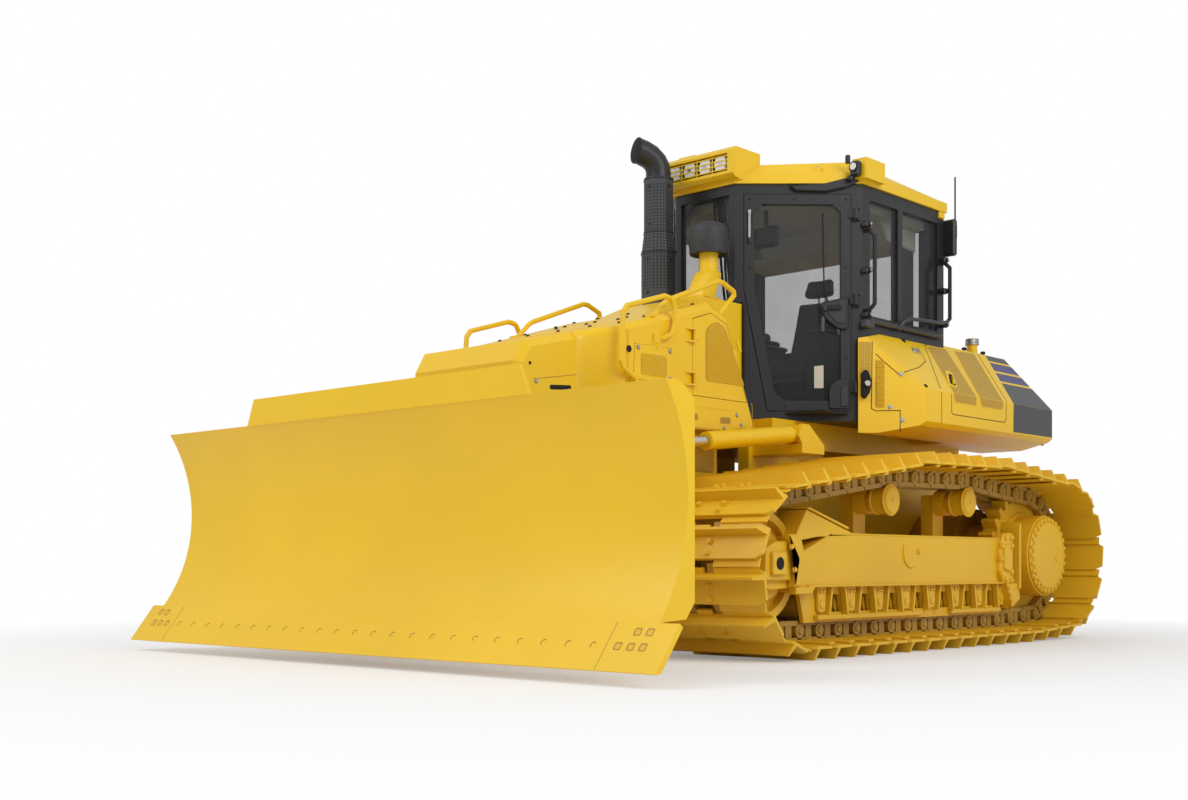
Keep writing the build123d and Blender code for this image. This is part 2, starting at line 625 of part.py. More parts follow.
# ---------------------------------------------------------------- cab
def cab_outline(inset):
    """(x, y) plan of the cab: narrow front, angled door sides, parallel rear sides."""
    turn = tan(radians(24.0)) * inset
    half = ((CAB_FRONT_HALF - turn, CAB_FRONT_Y + inset), (CAB_SIDE_X - inset, CAB_CORNER_Y + turn),
            (CAB_SIDE_X - inset, CAB_REAR_Y - inset))
    return [*half, *[(-x, y) for x, y in reversed(half)]]


def door_plane_point(s, out=0.0):
    """Plan point on the left door panel: s from the front corner, out from its face."""
    length = hypot(CAB_SIDE_X - CAB_FRONT_HALF, CAB_CORNER_Y - CAB_FRONT_Y)
    ux, uy = (CAB_SIDE_X - CAB_FRONT_HALF) / length, (CAB_CORNER_Y - CAB_FRONT_Y) / length
    return (CAB_FRONT_HALF + s * ux + out * uy, CAB_FRONT_Y + s * uy - out * ux)


DOOR_LENGTH = hypot(CAB_SIDE_X - CAB_FRONT_HALF, CAB_CORNER_Y - CAB_FRONT_Y)
DOOR_S = (60.0, DOOR_LENGTH - 75.0)
DOOR_Z = (1545.0, 2985.0)
DOOR_KINK_Z = 2345.0
DOOR_FOOT_S = 215.0
DOOR_THICK = 45.0
DOOR_FRAME = 70.0


def door_outline(gap):
    """(s, z) outline of the cab door in its own plane."""
    s0, s1 = DOOR_S
    z0, z1 = DOOR_Z
    return ((s0 + gap, DOOR_KINK_Z + gap / 2), (s0 + gap, z1 - gap), (s1 - gap, z1 - gap), (s1 - gap, z0 + gap),
            (DOOR_FOOT_S + gap, z0 + gap))


def door_prism(outline, inner, outer):
    """(s, z) outline pushed through the left door panel between two depths."""
    x0, y0 = door_plane_point(0, inner)
    x1, y1 = door_plane_point(1, inner)
    normal = Vector(*door_plane_point(0, 1), 0) - Vector(*door_plane_point(0, 0), 0)
    plane = Plane(origin=(x0, y0, 0), x_dir=(x1 - x0, y1 - y0, 0), z_dir=normal)
    points = [(s, -z) if plane.y_dir.Z < 0 else (s, z) for s, z in outline]
    return extrude(plane * make_face(Polyline(*points, close=True)), amount=outer - inner, dir=normal)


CAB_HINGE_Z = (1700.0, 2280.0, 2850.0)
CAB_HINGE_S = DOOR_S[1] + 24.0
CAB_HINGE_OUT = 26.0


def cab_frame():
    """Hollow cab: floor, pillars and window frames; doors and glass are cut out."""
    shell = prism_z(cab_outline(0), (CAB_FLOOR_Z, CAB_TOP_Z))
    shell -= prism_z(cab_outline(CAB_WALL), (CAB_FLOOR_Z + 40, CAB_TOP_Z + 1))
    shell += prism_z(cab_outline(CAB_WALL - 1), (CAB_TOP_Z - 45, CAB_TOP_Z))
    doorway = door_prism(door_outline(0), -CAB_WALL * 1.5, 30)
    shell -= doorway
    shell -= mirrored(doorway)
    for window in cab_windows(0):
        shell -= window
    for z in CAB_HINGE_Z:
        post = hinge_lugs(door_plane_point(CAB_HINGE_S, CAB_HINGE_OUT), z, door_plane_point(CAB_HINGE_S + 22, -8))
        shell = shell + post + mirrored(post)
    return shell


SIDE_WINDOW_Y = (CAB_CORNER_Y + 90, CAB_REAR_Y - 90)
SIDE_WINDOW_Z = (2190.0, 2960.0)
FRONT_WINDOW_Z = (2290.0, 2985.0)
REAR_WINDOW_Z = (2170.0, 2940.0)
WINDOW_POST = 60.0


def cab_windows(gap):
    """Cutters for the fixed windows: front, sides in two panes, rear."""
    deep = CAB_WALL + 60
    made = [box((-CAB_FRONT_HALF + 45 + gap, CAB_FRONT_HALF - 45 - gap), (CAB_FRONT_Y - 30, CAB_FRONT_Y + deep),
                (FRONT_WINDOW_Z[0] + gap, FRONT_WINDOW_Z[1] - gap)),
            box((-700 + gap, 700 - gap), (CAB_REAR_Y - deep, CAB_REAR_Y + 30),
                (REAR_WINDOW_Z[0] + gap, REAR_WINDOW_Z[1] - gap))]
    middle = (SIDE_WINDOW_Y[0] + SIDE_WINDOW_Y[1]) / 2 - 60
    for side in (-1, 1):
        x = sorted((side * (CAB_SIDE_X - deep), side * (CAB_SIDE_X + 30)))
        for y0, y1 in ((SIDE_WINDOW_Y[0], middle - WINDOW_POST / 2), (middle + WINDOW_POST / 2, SIDE_WINDOW_Y[1])):
            made.append(box(x, (y0 + gap, y1 - gap), (SIDE_WINDOW_Z[0] + gap, SIDE_WINDOW_Z[1] - gap)))
    return made


GLASS = 8.0
GLASS_DEPTH = 14.0


def cab_glass():
    """Fixed panes, set back in the window openings."""
    ring = prism_z(cab_outline(GLASS_DEPTH), (CAB_FLOOR_Z, CAB_TOP_Z))
    ring -= prism_z(cab_outline(GLASS_DEPTH + GLASS), (CAB_FLOOR_Z - 1, CAB_TOP_Z + 1))
    return group(*[ring & window for window in cab_windows(SEAT)])


def cab_door():
    """Left door frame: one slab with a large window cut in it."""
    slab = door_prism(door_outline(SWING_GAP / 2), -DOOR_THICK + 5, 5)
    slab -= door_prism(door_window(0), -DOOR_THICK - 5, 15)
    for z in CAB_HINGE_Z:
        slab += hinge_knuckle(door_plane_point(CAB_HINGE_S, CAB_HINGE_OUT), z,
                              door_plane_point(DOOR_S[1] - 25, 0))
    return slab


def door_window(gap):
    """(s, z) outline of the door's window."""
    s0, s1 = DOOR_S
    z0, z1 = DOOR_Z
    rim = DOOR_FRAME
    return ((s0 + rim + gap, DOOR_KINK_Z + 15), (s0 + rim + gap, z1 - rim - gap),
            (s1 - rim - gap, z1 - rim - gap), (s1 - rim - gap, z0 + rim + gap),
            (DOOR_FOOT_S + rim - 10 + gap, z0 + rim + gap))


def door_glass():
    return door_prism(door_window(SEAT), -GLASS_DEPTH - GLASS, -GLASS_DEPTH)


LAMP_POD_HALF = 305.0
LAMP_RECESS_Y = 75.0


def cab_roof():
    """Roof: flat rim, raised middle, front lamp housing and the blocks over the rear door posts."""
    rim = prism_z(cab_outline(-18), (CAB_TOP_Z + SEAT, CAB_TOP_Z + 70))
    upper = prism_x(((100, CAB_TOP_Z + 69), (100, 3165), (180, 3190), (CAB_CORNER_Y, 3222),
                     (CAB_REAR_Y - 60, 3140), (CAB_REAR_Y - 30, CAB_TOP_Z + 69)), (-CAB_SIDE_X, CAB_SIDE_X))
    upper &= loft([Pos(0, 0, CAB_TOP_Z + 69) * make_face(Polyline(*cab_outline(0), close=True)),
                   Pos(0, 0, 3230) * make_face(Polyline(*cab_outline(110), close=True))], ruled=True)
    pod = prism_x(((60, 3078), (28, 3100), (20, 3250), (60, 3280), (330, 3280), (330, CAB_TOP_Z + 60),
                   (95, CAB_TOP_Z + 20), (95, 3078)), (-LAMP_POD_HALF, LAMP_POD_HALF))
    pod -= box((-LAMP_POD_HALF + 40, LAMP_POD_HALF - 40), (0, LAMP_RECESS_Y), (3120, 3235))
    block = box((CAB_SIDE_X - 40, CAB_SIDE_X + 65), (CAB_CORNER_Y - 60, CAB_CORNER_Y + 175),
                (CAB_TOP_Z + 22, 3208))
    return rim + upper + pod + block + mirrored(block)


def lamps():
    """Work lamps in the front housing."""
    made = []
    for x in (-195, -65, 65, 195):
        made.append(rod((x, LAMP_RECESS_Y - SEAT, 3178), (x, 34, 3178), 48))
    return group(*made)


def cab_rails():
    """Grab bars on the pillars, one side."""
    foot = CAB_SIDE_X + SEAT
    out = CAB_SIDE_X + 75
    made = []
    for y, low, high in ((CAB_CORNER_Y + 30, 2215, 2745), (CAB_REAR_Y - 45, 2240, 2680)):
        made.append(tube(((foot, y, low), (out, y, low), (out, y, high), (foot, y, high)), 14, 40))
    return group(*made)


def seat():
    """Operator's seat: pedestal, cushion and backrest."""
    floor = CAB_FLOOR_Z + 40 + SEAT
    made = box((-200, 200), (1050, 1420), (floor, floor + 330))
    made += box((-260, 260), (950, 1480), (floor + 329, floor + 480))
    made += prism_x(((1400, floor + 479), (1520, floor + 479), (1600, floor + 1130), (1500, floor + 1130)),
                    (-240, 240))
    return made


def cab_console():
    """Dash behind the windshield and the two armrest consoles."""
    floor = CAB_FLOOR_Z + 40 + SEAT
    made = [prism_x(((CAB_FRONT_Y + CAB_WALL + 40, floor), (CAB_FRONT_Y + 420, floor), (CAB_FRONT_Y + 420, 2080),
                     (CAB_FRONT_Y + CAB_WALL + 40, 2240)), (-190, 190))]
    for side in (-1, 1):
        x = sorted((side * 300, side * 440))
        made.append(box(x, (880, 1480), (floor, floor + 620)))
    return group(*made)


# ---------------------------------------------------------------- rear body
BODY_LOW_Z = 1400.0
BELT_Z = 1697.0
RIDGE_X = 850.0
RIDGE_Z = 2105.0
BODY_FRONT_Y = 645.0
BAY_Y = 2080.0
FILLER = (750.0, 2415.0)           # (x, y) of the filler neck and its cap
GRILLE_HINGE = (706.0, BODY_REAR_Y + 18.0)
GRILLE_HINGE_Z = (1610.0,)


def rear_body():
    """Tank and cooler body behind and beside the cab, with an open cooler bay at the rear."""
    low = DECK_TOP + SEAT
    half = ((590, low), (620, BODY_LOW_Z), (960, BODY_LOW_Z), (1150, 1452), (BODY_HALF, 1482), (BODY_HALF, BELT_Z),
            (RIDGE_X, RIDGE_Z))
    body = prism_y([*half, *[(-x, z) for x, z in reversed(half)]], (BODY_FRONT_Y, BODY_REAR_Y))
    plan = [(RIDGE_X + 20, BODY_FRONT_Y), (BODY_HALF, 985), (BODY_HALF, BODY_REAR_Y)]
    plan = plan + [(-x, y) for x, y in reversed(plan)]
    body &= prism_z(plan, (BODY_LOW_Z - 1, RIDGE_Z + 1))
    body &= prism_x(((BODY_FRONT_Y, BODY_LOW_Z - 1), (BODY_FRONT_Y, 2025), (1030, RIDGE_Z), (2725, RIDGE_Z),
                     (BODY_REAR_Y, BELT_Z), (BODY_REAR_Y, 1470), (BODY_REAR_Y - 60, BODY_LOW_Z - 1)),
                    (-BODY_HALF, BODY_HALF))
    body -= prism_z(cab_outline(-SEAT * 2), (BODY_LOW_Z - 2, RIDGE_Z + 2))
    body -= box((-CAB_SIDE_X - 2 * SEAT, CAB_SIDE_X + 2 * SEAT), (0, CAB_REAR_Y), (BODY_LOW_Z - 2, RIDGE_Z + 2))
    body -= box((-700, 700), (BAY_Y, BODY_REAR_Y + 1), (low + 60, RIDGE_Z - 40))
    body += Pos(*FILLER, 0) * extrude(Pos(0, 0, RIDGE_Z - 5) * RegularPolygon(38, 16), amount=85)
    body += Pos(*FILLER, 0) * extrude(Pos(0, 0, RIDGE_Z + 79) * RegularPolygon(46, 16), amount=50)
    for z in GRILLE_HINGE_Z:
        body += hinge_lugs(GRILLE_HINGE, z, (726, BODY_REAR_Y - 10))
    return body


def radiator():
    """Cooler core standing across the bay."""
    low = DECK_TOP + SEAT
    return box((-640, 640), (BAY_Y + 40, BAY_Y + 170), (low + 60 + SEAT, RIDGE_Z - 60))


FAN_Z = 1800.0
FAN_Y = BAY_Y + 330.0


def fan():
    """Cooling fan: hub and blades."""
    made = bar((0, FAN_Y - 60, FAN_Z), (0, FAN_Y + 60, FAN_Z), 70)
    for number in range(6):
        blade = Rot(0, number * 60, 0) * (Pos(0, 0, 145) * (Rot(0, 0, 28) * Box(100, 14, 170)))
        made += Pos(0, FAN_Y, FAN_Z) * blade
    return made


def fan_mount():
    """Motor and shaft between the cooler core and the fan."""
    y = BAY_Y + 170 + SEAT
    made = bar((0, y, FAN_Z), (0, FAN_Y - 60 - SEAT, FAN_Z), 85)
    return made


def rear_grille_door():
    """Door over the cooler bay, following the sloping rear."""
    low = DECK_TOP + SEAT + 60 + 6
    high = RIDGE_Z - 46
    slope = (BODY_REAR_Y - 2725) / (RIDGE_Z - BELT_Z)
    back_top = BODY_REAR_Y - (high - BELT_Z) * slope
    door = prism_x(((BODY_REAR_Y - 45, low), (BODY_REAR_Y, low), (BODY_REAR_Y, BELT_Z), (back_top, high),
                    (back_top - 45, high), (BODY_REAR_Y - 45, BELT_Z - 10)), (-694, 694))
    for z in GRILLE_HINGE_Z:
        door += hinge_knuckle(GRILLE_HINGE, z, (670, BODY_REAR_Y - 10))
    return door


# ---------------------------------------------------------------- blade group
BEAM_Y = -1560.0                   # rear face of the cross beam
ARM_LOW_Z = 440.0
ARM_TOP_Z = 600.0
HORN_PLATE = 20.0
EAR = 22.0                         # plates either side of a cylinder's eye
YOKE_PIN_R = 45.0
ANGLE_Z = 670.0
ANGLE_EYE = (520.0, -1500.0)       # barrel eye on the arms (x, y)
ANGLE_ROD_EYE = (430.0, -2215.0)   # rod eye on the yoke (x, y)
ANGLE_BARREL = 440.0
TILT_Z = 1150.0
TILT_EYE_X = -430.0
TILT_ROD_EYE_X = 110.0
TILT_Y = -2440.0
TILT_BARREL = 330.0
CYL_R = 48.0
ROD_R = 28.0
TILT_PIN_R = 70.0
KNUCKLE_R = 68.0                   # rounded ends that turn on the yoke's pin
BLADE_SEAT_Y = -2520.0


def c_frame():
    """Push arms, cross beam, upright horns and the nose that carries the blade."""
    y0, z0 = LIFT_PIVOT_Y, LIFT_PIVOT_Z
    y, z = LIFT_ROD_EYE
    arm_x = (ARM_X - ARM_HALF, ARM_X + ARM_HALF)
    fork = EYE_HALF + SEAT
    horn_x = (LIFT_X - fork - HORN_PLATE, LIFT_X + fork + HORN_PLATE)
    arm = prism_x(((y0 + 80, z0 - 60), (y0 + 80, z0 + 60), (y0 + 30, z0 + 100), (BEAM_Y + 60, ARM_TOP_Z),
                   (BEAM_Y - 140, ARM_TOP_Z), (BEAM_Y - 140, ARM_LOW_Z), (BEAM_Y + 60, ARM_LOW_Z - 30),
                   (y0 + 30, z0 - 100)), arm_x)
    arm -= bar((arm_x[0] - 1, y0, z0), (arm_x[1] + 1, y0, z0), LIFT_PIN_R + PIN_PLAY)
    horn = prism_x(((BEAM_Y - 140, ARM_LOW_Z), (BEAM_Y, ARM_LOW_Z), (BEAM_Y - 30, 900), (y + 60, z - 20),
                    (y + 45, z + 45), (y - 45, z + 45), (y - 60, z - 20), (BEAM_Y - 230, 800),
                    (BEAM_Y - 230, 520)), horn_x)
    horn -= box((LIFT_X - fork, LIFT_X + fork), (y - 130, y + 130), (z - 90, z + 60))
    arm += horn + box((arm_x[0], horn_x[1]), (BEAM_Y - 140, BEAM_Y - 10), (ARM_LOW_Z, ARM_TOP_Z))
    made = arm + mirrored(arm)
    made += prism_z(((-arm_x[1], BEAM_Y), (arm_x[1], BEAM_Y), (arm_x[1], BEAM_Y - 140),
                     (170, BEAM_Y - 400), (-170, BEAM_Y - 400), (-arm_x[1], BEAM_Y - 140)),
                    (ARM_LOW_Z + 10, ARM_TOP_Z))
    made += box((-110, 110), (-2100, BEAM_Y - 380), (ARM_LOW_Z + 10, YOKE_Z + 120))
    for low in (-125, 75):
        ear = (YOKE_Z + low, YOKE_Z + low + 50)
        made += box((-KNUCKLE_R, KNUCKLE_R), (YOKE_Y, -2040), ear)
        made += rod((0, YOKE_Y, ear[0]), (0, YOKE_Y, ear[1]), KNUCKLE_R, 24)
    made += rod((0, YOKE_Y, YOKE_Z - 130), (0, YOKE_Y, YOKE_Z + 130), YOKE_PIN_R, 24)
    x, y = ANGLE_EYE
    gap = EYE_HALF + 4
    ears = None
    for low in (-gap - EAR, gap):
        ear = box((x - 50, x + 50), (y - 50, y + 60), (ANGLE_Z + low, ANGLE_Z + low + EAR))
        ears = ear if ears is None else ears + ear
    ears += rod((x, y, ARM_TOP_Z - 10), (x, y, ANGLE_Z + gap + EAR + 4), PIN_R)
    ears += box((x - 50, x + 50), (y + 52, y + 74), (ARM_TOP_Z - 10, ANGLE_Z + gap + EAR))
    return made + ears + mirrored(ears)


def blade_yoke():
    """Yoke between the frame's nose and the blade: turns on the nose pin, carries the tilt pin."""
    back = YOKE_Y - KNUCKLE_R - 12
    plate = (-2376, -2320)
    made = Pos(0, YOKE_Y, YOKE_Z) * Cylinder(KNUCKLE_R, 140)
    made += box((-KNUCKLE_R, KNUCKLE_R), (back - 1, YOKE_Y), (YOKE_Z - 70, YOKE_Z + 70))
    made -= bar((0, YOKE_Y, YOKE_Z - 80), (0, YOKE_Y, YOKE_Z + 80), YOKE_PIN_R + PIN_PLAY)
    made += box((-150, 150), (plate[0], back), (YOKE_Z - 120, YOKE_Z + 120))
    made += box((-500, 500), plate, (YOKE_Z - 60, ANGLE_Z + EYE_HALF + EAR))
    x, y = ANGLE_ROD_EYE
    for low in (-EYE_HALF - EAR, EYE_HALF + SEAT):
        ear = box((x - 70, x + 70), (plate[1] - 1, y + 45), (ANGLE_Z + low, ANGLE_Z + low + EAR - SEAT))
        made = made + ear + mirrored(ear)
    made += rod((0, plate[0] + 1, YOKE_Z), (0, BLADE_SEAT_Y + 40, YOKE_Z), TILT_PIN_R, 24)
    x = TILT_EYE_X
    tower = TILT_Y + EYE_HALF + SEAT
    made += box((x - 60, x + 60), (tower, tower + 34), (ANGLE_Z, TILT_Z + 45))
    made += rod((x, tower + 20, TILT_Z), (x, TILT_Y - EYE_HALF - 12, TILT_Z), PIN_R)
    return made


def blade():
    """Moldboard with its curved shell, side plates, back ribs and spill guard."""
    t = BLADE_SHELL
    front = ThreePointArc((-2700, BLADE_TOP_Z), (-2548, 810), (-2745, 275))
    back = ThreePointArc((-2745 + 0.79 * t, 275 - 0.61 * t), (-2548 + t, 810), (-2700 + t, BLADE_TOP_Z))
    outline = Wire([front, Line(front @ 1, back @ 0), back, Line(back @ 1, front @ 0)])
    shell = Pos(-BLADE_HALF, 0, 0) * extrude(Plane.YZ * make_face(outline), amount=2 * BLADE_HALF, dir=(1, 0, 0))
    spill = prism_y(((-1170, BLADE_TOP_Z - 1), (1170, BLADE_TOP_Z - 1), (1105, 1490), (-1105, 1490)), (-2702, -2678))
    behind = None
    for x in (-BLADE_HALF, BLADE_HALF - 25):
        plate = prism_x(((-2700, BLADE_TOP_Z), (-2610, BLADE_TOP_Z), (-2500, 1270), (-2500, 360), (-2560, 285),
                         (-2745, 275)), (x, x + 25))
        behind = plate if behind is None else behind + plate
    rib = prism_x(((-2665, 1270), (-2560, 1250), (-2500, 1150), (-2500, 420), (-2600, 300), (-2700, 300)), (-10, 10))
    for x in (1490, 990, 550):
        behind += Pos(x, 0, 0) * rib + Pos(-x, 0, 0) * rib
    for y, z in ((-2640, 1210), (-2650, 380)):
        behind += box((-BLADE_HALF + 24, BLADE_HALF - 24), (y, -2500), (z, z + 25))
    hub = prism_x(((BLADE_SEAT_Y - 60, YOKE_Z - 150), (BLADE_SEAT_Y + 80, YOKE_Z - 120),
                   (BLADE_SEAT_Y + 80, YOKE_Z + 120), (BLADE_SEAT_Y - 60, YOKE_Z + 150)), (-150, 150))
    hub -= bar((0, BLADE_SEAT_Y + 81, YOKE_Z), (0, BLADE_SEAT_Y + 30, YOKE_Z), TILT_PIN_R + PIN_PLAY)
    behind += hub
    x = TILT_ROD_EYE_X
    behind += box((x - 55, x + 55), (-2660, TILT_Y - EYE_HALF - SEAT), (TILT_Z - 60, TILT_Z + 61))
    return shell + spill + (behind - blade_front_space())


def blade_front_space():
    """Everything in front of the moldboard's back skin."""
    t = BLADE_SHELL / 2
    arc = ThreePointArc((-2700 + t, BLADE_TOP_Z), (-2548 + t, 810), (-2745 + t, 275))
    outline = Wire([arc, Line(arc @ 1, (-2745 + t, 200)), Line((-2745 + t, 200), (-3000, 200)),
                    Line((-3000, 200), (-3000, 1400)), Line((-3000, 1400), (-2700 + t, 1400)),
                    Line((-2700 + t, 1400), arc @ 0)])
    return Pos(-BLADE_HALF - 1, 0, 0) * extrude(Plane.YZ * make_face(outline), amount=2 * BLADE_HALF + 2,
                                                dir=(1, 0, 0))


EDGE_LENGTH = 262.0                # along the plate's face, top to lip
EDGE_THICK = 28.0
EDGE_TILT = radians(52.6)          # face of the edge above level


def cutting_edge():
    """Straight edge plates and the two end bits, bolted along the moldboard's foot."""
    down = (-cos(EDGE_TILT), -sin(EDGE_TILT))
    back = (sin(EDGE_TILT), -cos(EDGE_TILT))

    def point(along, deep):
        return (-2745 + along * down[0] + deep * back[0], 275 + along * down[1] + deep * back[1])

    outline = (point(SEAT, 0), point(EDGE_LENGTH, 0), point(EDGE_LENGTH, 6), point(EDGE_LENGTH - 24, EDGE_THICK),
               point(SEAT, EDGE_THICK))
    edge = prism_x(outline, (-1780, 1780))
    bit = prism_x(outline, (1781, END_BIT_HALF))
    return group(edge, bit, mirrored(bit))


def cylinder_set(rear, front, barrel, barrel_r, rod_r, axis, inside, eye_r=58.0, sides=12):
    """Barrel and rod between two eyes; the rod reaches back inside the barrel."""
    rear, front = Vector(*rear), Vector(*front)
    along = (front - rear).normalized()
    side = Vector(*axis)
    neck = eye_r + 22
    outer = bar(rear + along * neck, rear + along * barrel, barrel_r)
    outer += rod(rear + along * (eye_r - 12), rear + along * (neck + 1), EYE_HALF - 2, 8)
    outer += rod(rear - side * EYE_HALF, rear + side * EYE_HALF, eye_r, 24)
    outer -= bar(rear - side * (EYE_HALF + 1), rear + side * (EYE_HALF + 1), PIN_R + PIN_PLAY)
    sleeve = (rod_r + PIN_PLAY) / cos(pi / sides)
    outer -= rod(rear + along * (neck + 12), rear + along * (barrel + 1), sleeve, sides)
    inner = rod(rear + along * inside, front - along * (eye_r - 14), rod_r, sides)
    inner += rod(front - side * EYE_HALF, front + side * EYE_HALF, eye_r, 24)
    return outer, inner


def build_all():
    """Every sub-part by name."""
    made = {
        "main_frame": main_frame() + lift_bracket() + mirrored(lift_bracket()),
        "engine_block": engine_block(),
        "hood": hood(),
        "hood_rails": pair(hood_rails()),
        "exhaust": exhaust(),
        "precleaner": precleaner(),
        "cab_frame": cab_frame(),
        "cab_roof": cab_roof(),
        "cab_glass": cab_glass(),
        "cab_console": cab_console(),
        "seat": seat(),
        "rear_body": rear_body(),
        "radiator": radiator() + fan_mount(),
        "drawbar": drawbar(),
        "lamps": lamps(),
        "cab_rails": pair(cab_rails()),
        "track_frames": pair(track_frame()),
        "idlers": pair(group(idler(), idler_axle())),
        "sprockets": pair(sprocket()),
        "rollers": pair(rollers()),
        "fan": fan(),
        "rear_grille_door": rear_grille_door(),
        "c_frame": c_frame(),
        "blade_yoke": blade_yoke(),
        "blade": blade(),
        "cutting_edge": cutting_edge(),
    }
    left = {"track": track(), "cab_door": cab_door(), "door_glass": door_glass(), "engine_door": engine_door()}
    y, z = LIFT_EYE
    fy, fz = LIFT_ROD_EYE
    left["lift_barrel"], left["lift_rod"] = cylinder_set(
        (LIFT_X, y, z), (LIFT_X, fy, fz), LIFT_BARREL, LIFT_BARREL_R, LIFT_ROD_R, (1, 0, 0), 480, sides=24)
    (ax, ay), (bx, by) = ANGLE_EYE, ANGLE_ROD_EYE
    left["angle_barrel"], left["angle_rod"] = cylinder_set(
        (ax, ay, ANGLE_Z), (bx, by, ANGLE_Z), ANGLE_BARREL, CYL_R, ROD_R, (0, 0, 1), 300, 46.0)
    for name, shape in left.items():
        made[name + "_left"] = shape
        made[name + "_right"] = mirrored(shape)
    made["tilt_barrel"], made["tilt_rod"] = cylinder_set(
        (TILT_EYE_X, TILT_Y, TILT_Z), (TILT_ROD_EYE_X, TILT_Y, TILT_Z), TILT_BARREL, CYL_R, ROD_R, (0, 1, 0),
        170, 46.0)
    return made


os.makedirs("parts", exist_ok=True)
for node, shape in build_all().items():
    export_step(shape, os.path.join("parts", node + ".step"))
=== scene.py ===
import bpy
import bmesh
import json
import math
from mathutils import Matrix, Vector


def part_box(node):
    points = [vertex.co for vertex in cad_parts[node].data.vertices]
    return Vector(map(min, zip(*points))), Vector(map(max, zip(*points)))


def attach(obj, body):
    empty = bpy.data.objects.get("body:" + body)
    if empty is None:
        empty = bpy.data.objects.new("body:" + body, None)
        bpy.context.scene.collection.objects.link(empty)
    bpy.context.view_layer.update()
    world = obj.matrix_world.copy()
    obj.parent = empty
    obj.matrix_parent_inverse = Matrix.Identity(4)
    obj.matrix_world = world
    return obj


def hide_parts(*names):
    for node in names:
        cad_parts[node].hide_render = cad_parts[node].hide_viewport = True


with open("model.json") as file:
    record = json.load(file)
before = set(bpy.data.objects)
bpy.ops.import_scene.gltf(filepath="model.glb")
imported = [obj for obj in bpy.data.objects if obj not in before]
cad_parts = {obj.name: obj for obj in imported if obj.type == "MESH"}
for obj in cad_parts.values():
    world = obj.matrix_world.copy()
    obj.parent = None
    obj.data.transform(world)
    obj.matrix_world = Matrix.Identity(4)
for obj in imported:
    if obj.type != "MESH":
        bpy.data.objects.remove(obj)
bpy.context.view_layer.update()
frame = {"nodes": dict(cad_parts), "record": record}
nodes = frame["nodes"]
bothSides = ((1, "Left"), (-1, "Right"))
print("frame loaded:", len(nodes), "nodes")


class Socket:
    # one output socket; operators add the Math node that they stand for
    def __init__(self, tree, link):
        self.tree = tree
        self.link = link

    def maths(self, operation, *others):
        return self.tree.add("ShaderNodeMath", {"operation": operation}, [self, *others])

    def __add__(self, other):
        return self.maths("ADD", other)

    __radd__ = __add__

    def __sub__(self, other):
        return self.maths("SUBTRACT", other)

    def __rsub__(self, other):
        return (self * -1.0) + other

    def __mul__(self, other):
        return self.maths("MULTIPLY", other)

    __rmul__ = __mul__

    def __gt__(self, limit):
        return self.maths("GREATER_THAN", limit)

    def __lt__(self, limit):
        return self.maths("LESS_THAN", limit)

    def __abs__(self):
        return self.maths("ABSOLUTE")

    def wave(self, pitch):
        # 0 in the middle of each cell to 0.5 at its edges
        return abs((self * (1.0 / pitch)).maths("FRACT") - 0.5)


class Finish:
    # a material and the nodes put into it
    def __init__(self, name, **surface):
        self.material = bpy.data.materials.new(name)
        self.material.use_nodes = True
        self.nodes = self.material.node_tree.nodes
        self.links = self.material.node_tree.links
        self.shader = self.nodes["Principled BSDF"]
        self.place = None
        for socket, value in surface.items():
            self.shader.inputs[socket.replace("_", " ")].default_value = value

    def add(self, kind, settings=None, values=(), output=0):
        node = self.nodes.new(kind)
        for key, value in (settings or {}).items():
            if key == "stops":
                ramp = node.color_ramp.elements
                while len(ramp) < len(value):
                    ramp.new(0.5)
                for element, (position, colour) in zip(ramp, value):
                    element.position = position
                    element.color = colour
            else:
                setattr(node, key, value)
        pairs = values.items() if isinstance(values, dict) else enumerate(values)
        for key, value in pairs:
            if isinstance(value, Socket):
                value = value.link
            if isinstance(value, bpy.types.NodeSocket):
                self.links.new(value, node.inputs[key])
            else:
                node.inputs[key].default_value = value
        return Socket(self, node.outputs[output])

    def where(self):
        if self.place is None:
            self.place = self.add("ShaderNodeTexCoord", output=3)
        return self.place

    def axes(self, middle=(0, 0, 0), turn=(0, 0, 0)):
        # the three coordinates of a point, about a centre
        moved = self.add("ShaderNodeMapping", {"vector_type": "TEXTURE"},
                         {"Vector": self.where(), "Location": middle, "Rotation": turn})
        split = self.add("ShaderNodeSeparateXYZ", {}, [moved])
        return [Socket(self, output) for output in split.link.node.outputs]

    def noise(self, scale, detail=2.0, rough=0.5):
        return self.add("ShaderNodeTexNoise", {}, {"Vector": self.where(), "Scale": scale,
                                                   "Detail": detail, "Roughness": rough})

    def spread(self, value, low, high, start=0.3, end=0.7):
        return self.add("ShaderNodeMapRange", {}, {0: value, 1: start, 2: end, 3: low, 4: high})

    def blend(self, factor, first, second):
        return self.add("ShaderNodeMix", {"data_type": "RGBA"}, {0: factor, 6: first, 7: second}, 2)

    def feed(self, socket, value):
        self.links.new(value.link, self.shader.inputs[socket])

    def bump(self, height, strength, distance):
        self.feed("Normal", self.add("ShaderNodeBump", {}, {"Strength": strength, "Distance": distance,
                                                            "Height": height}))


def rgb(red, green, blue):
    # colour as picked on screen, 0 to 255, to the linear values that shaders use
    def straight(value):
        value = value / 255.0
        return value / 12.92 if value <= 0.04045 else ((value + 0.055) / 1.055) ** 2.4
    return (straight(red), straight(green), straight(blue), 1.0)


def darker(colour, share):
    return tuple(value * share for value in colour[:3]) + (1.0,)


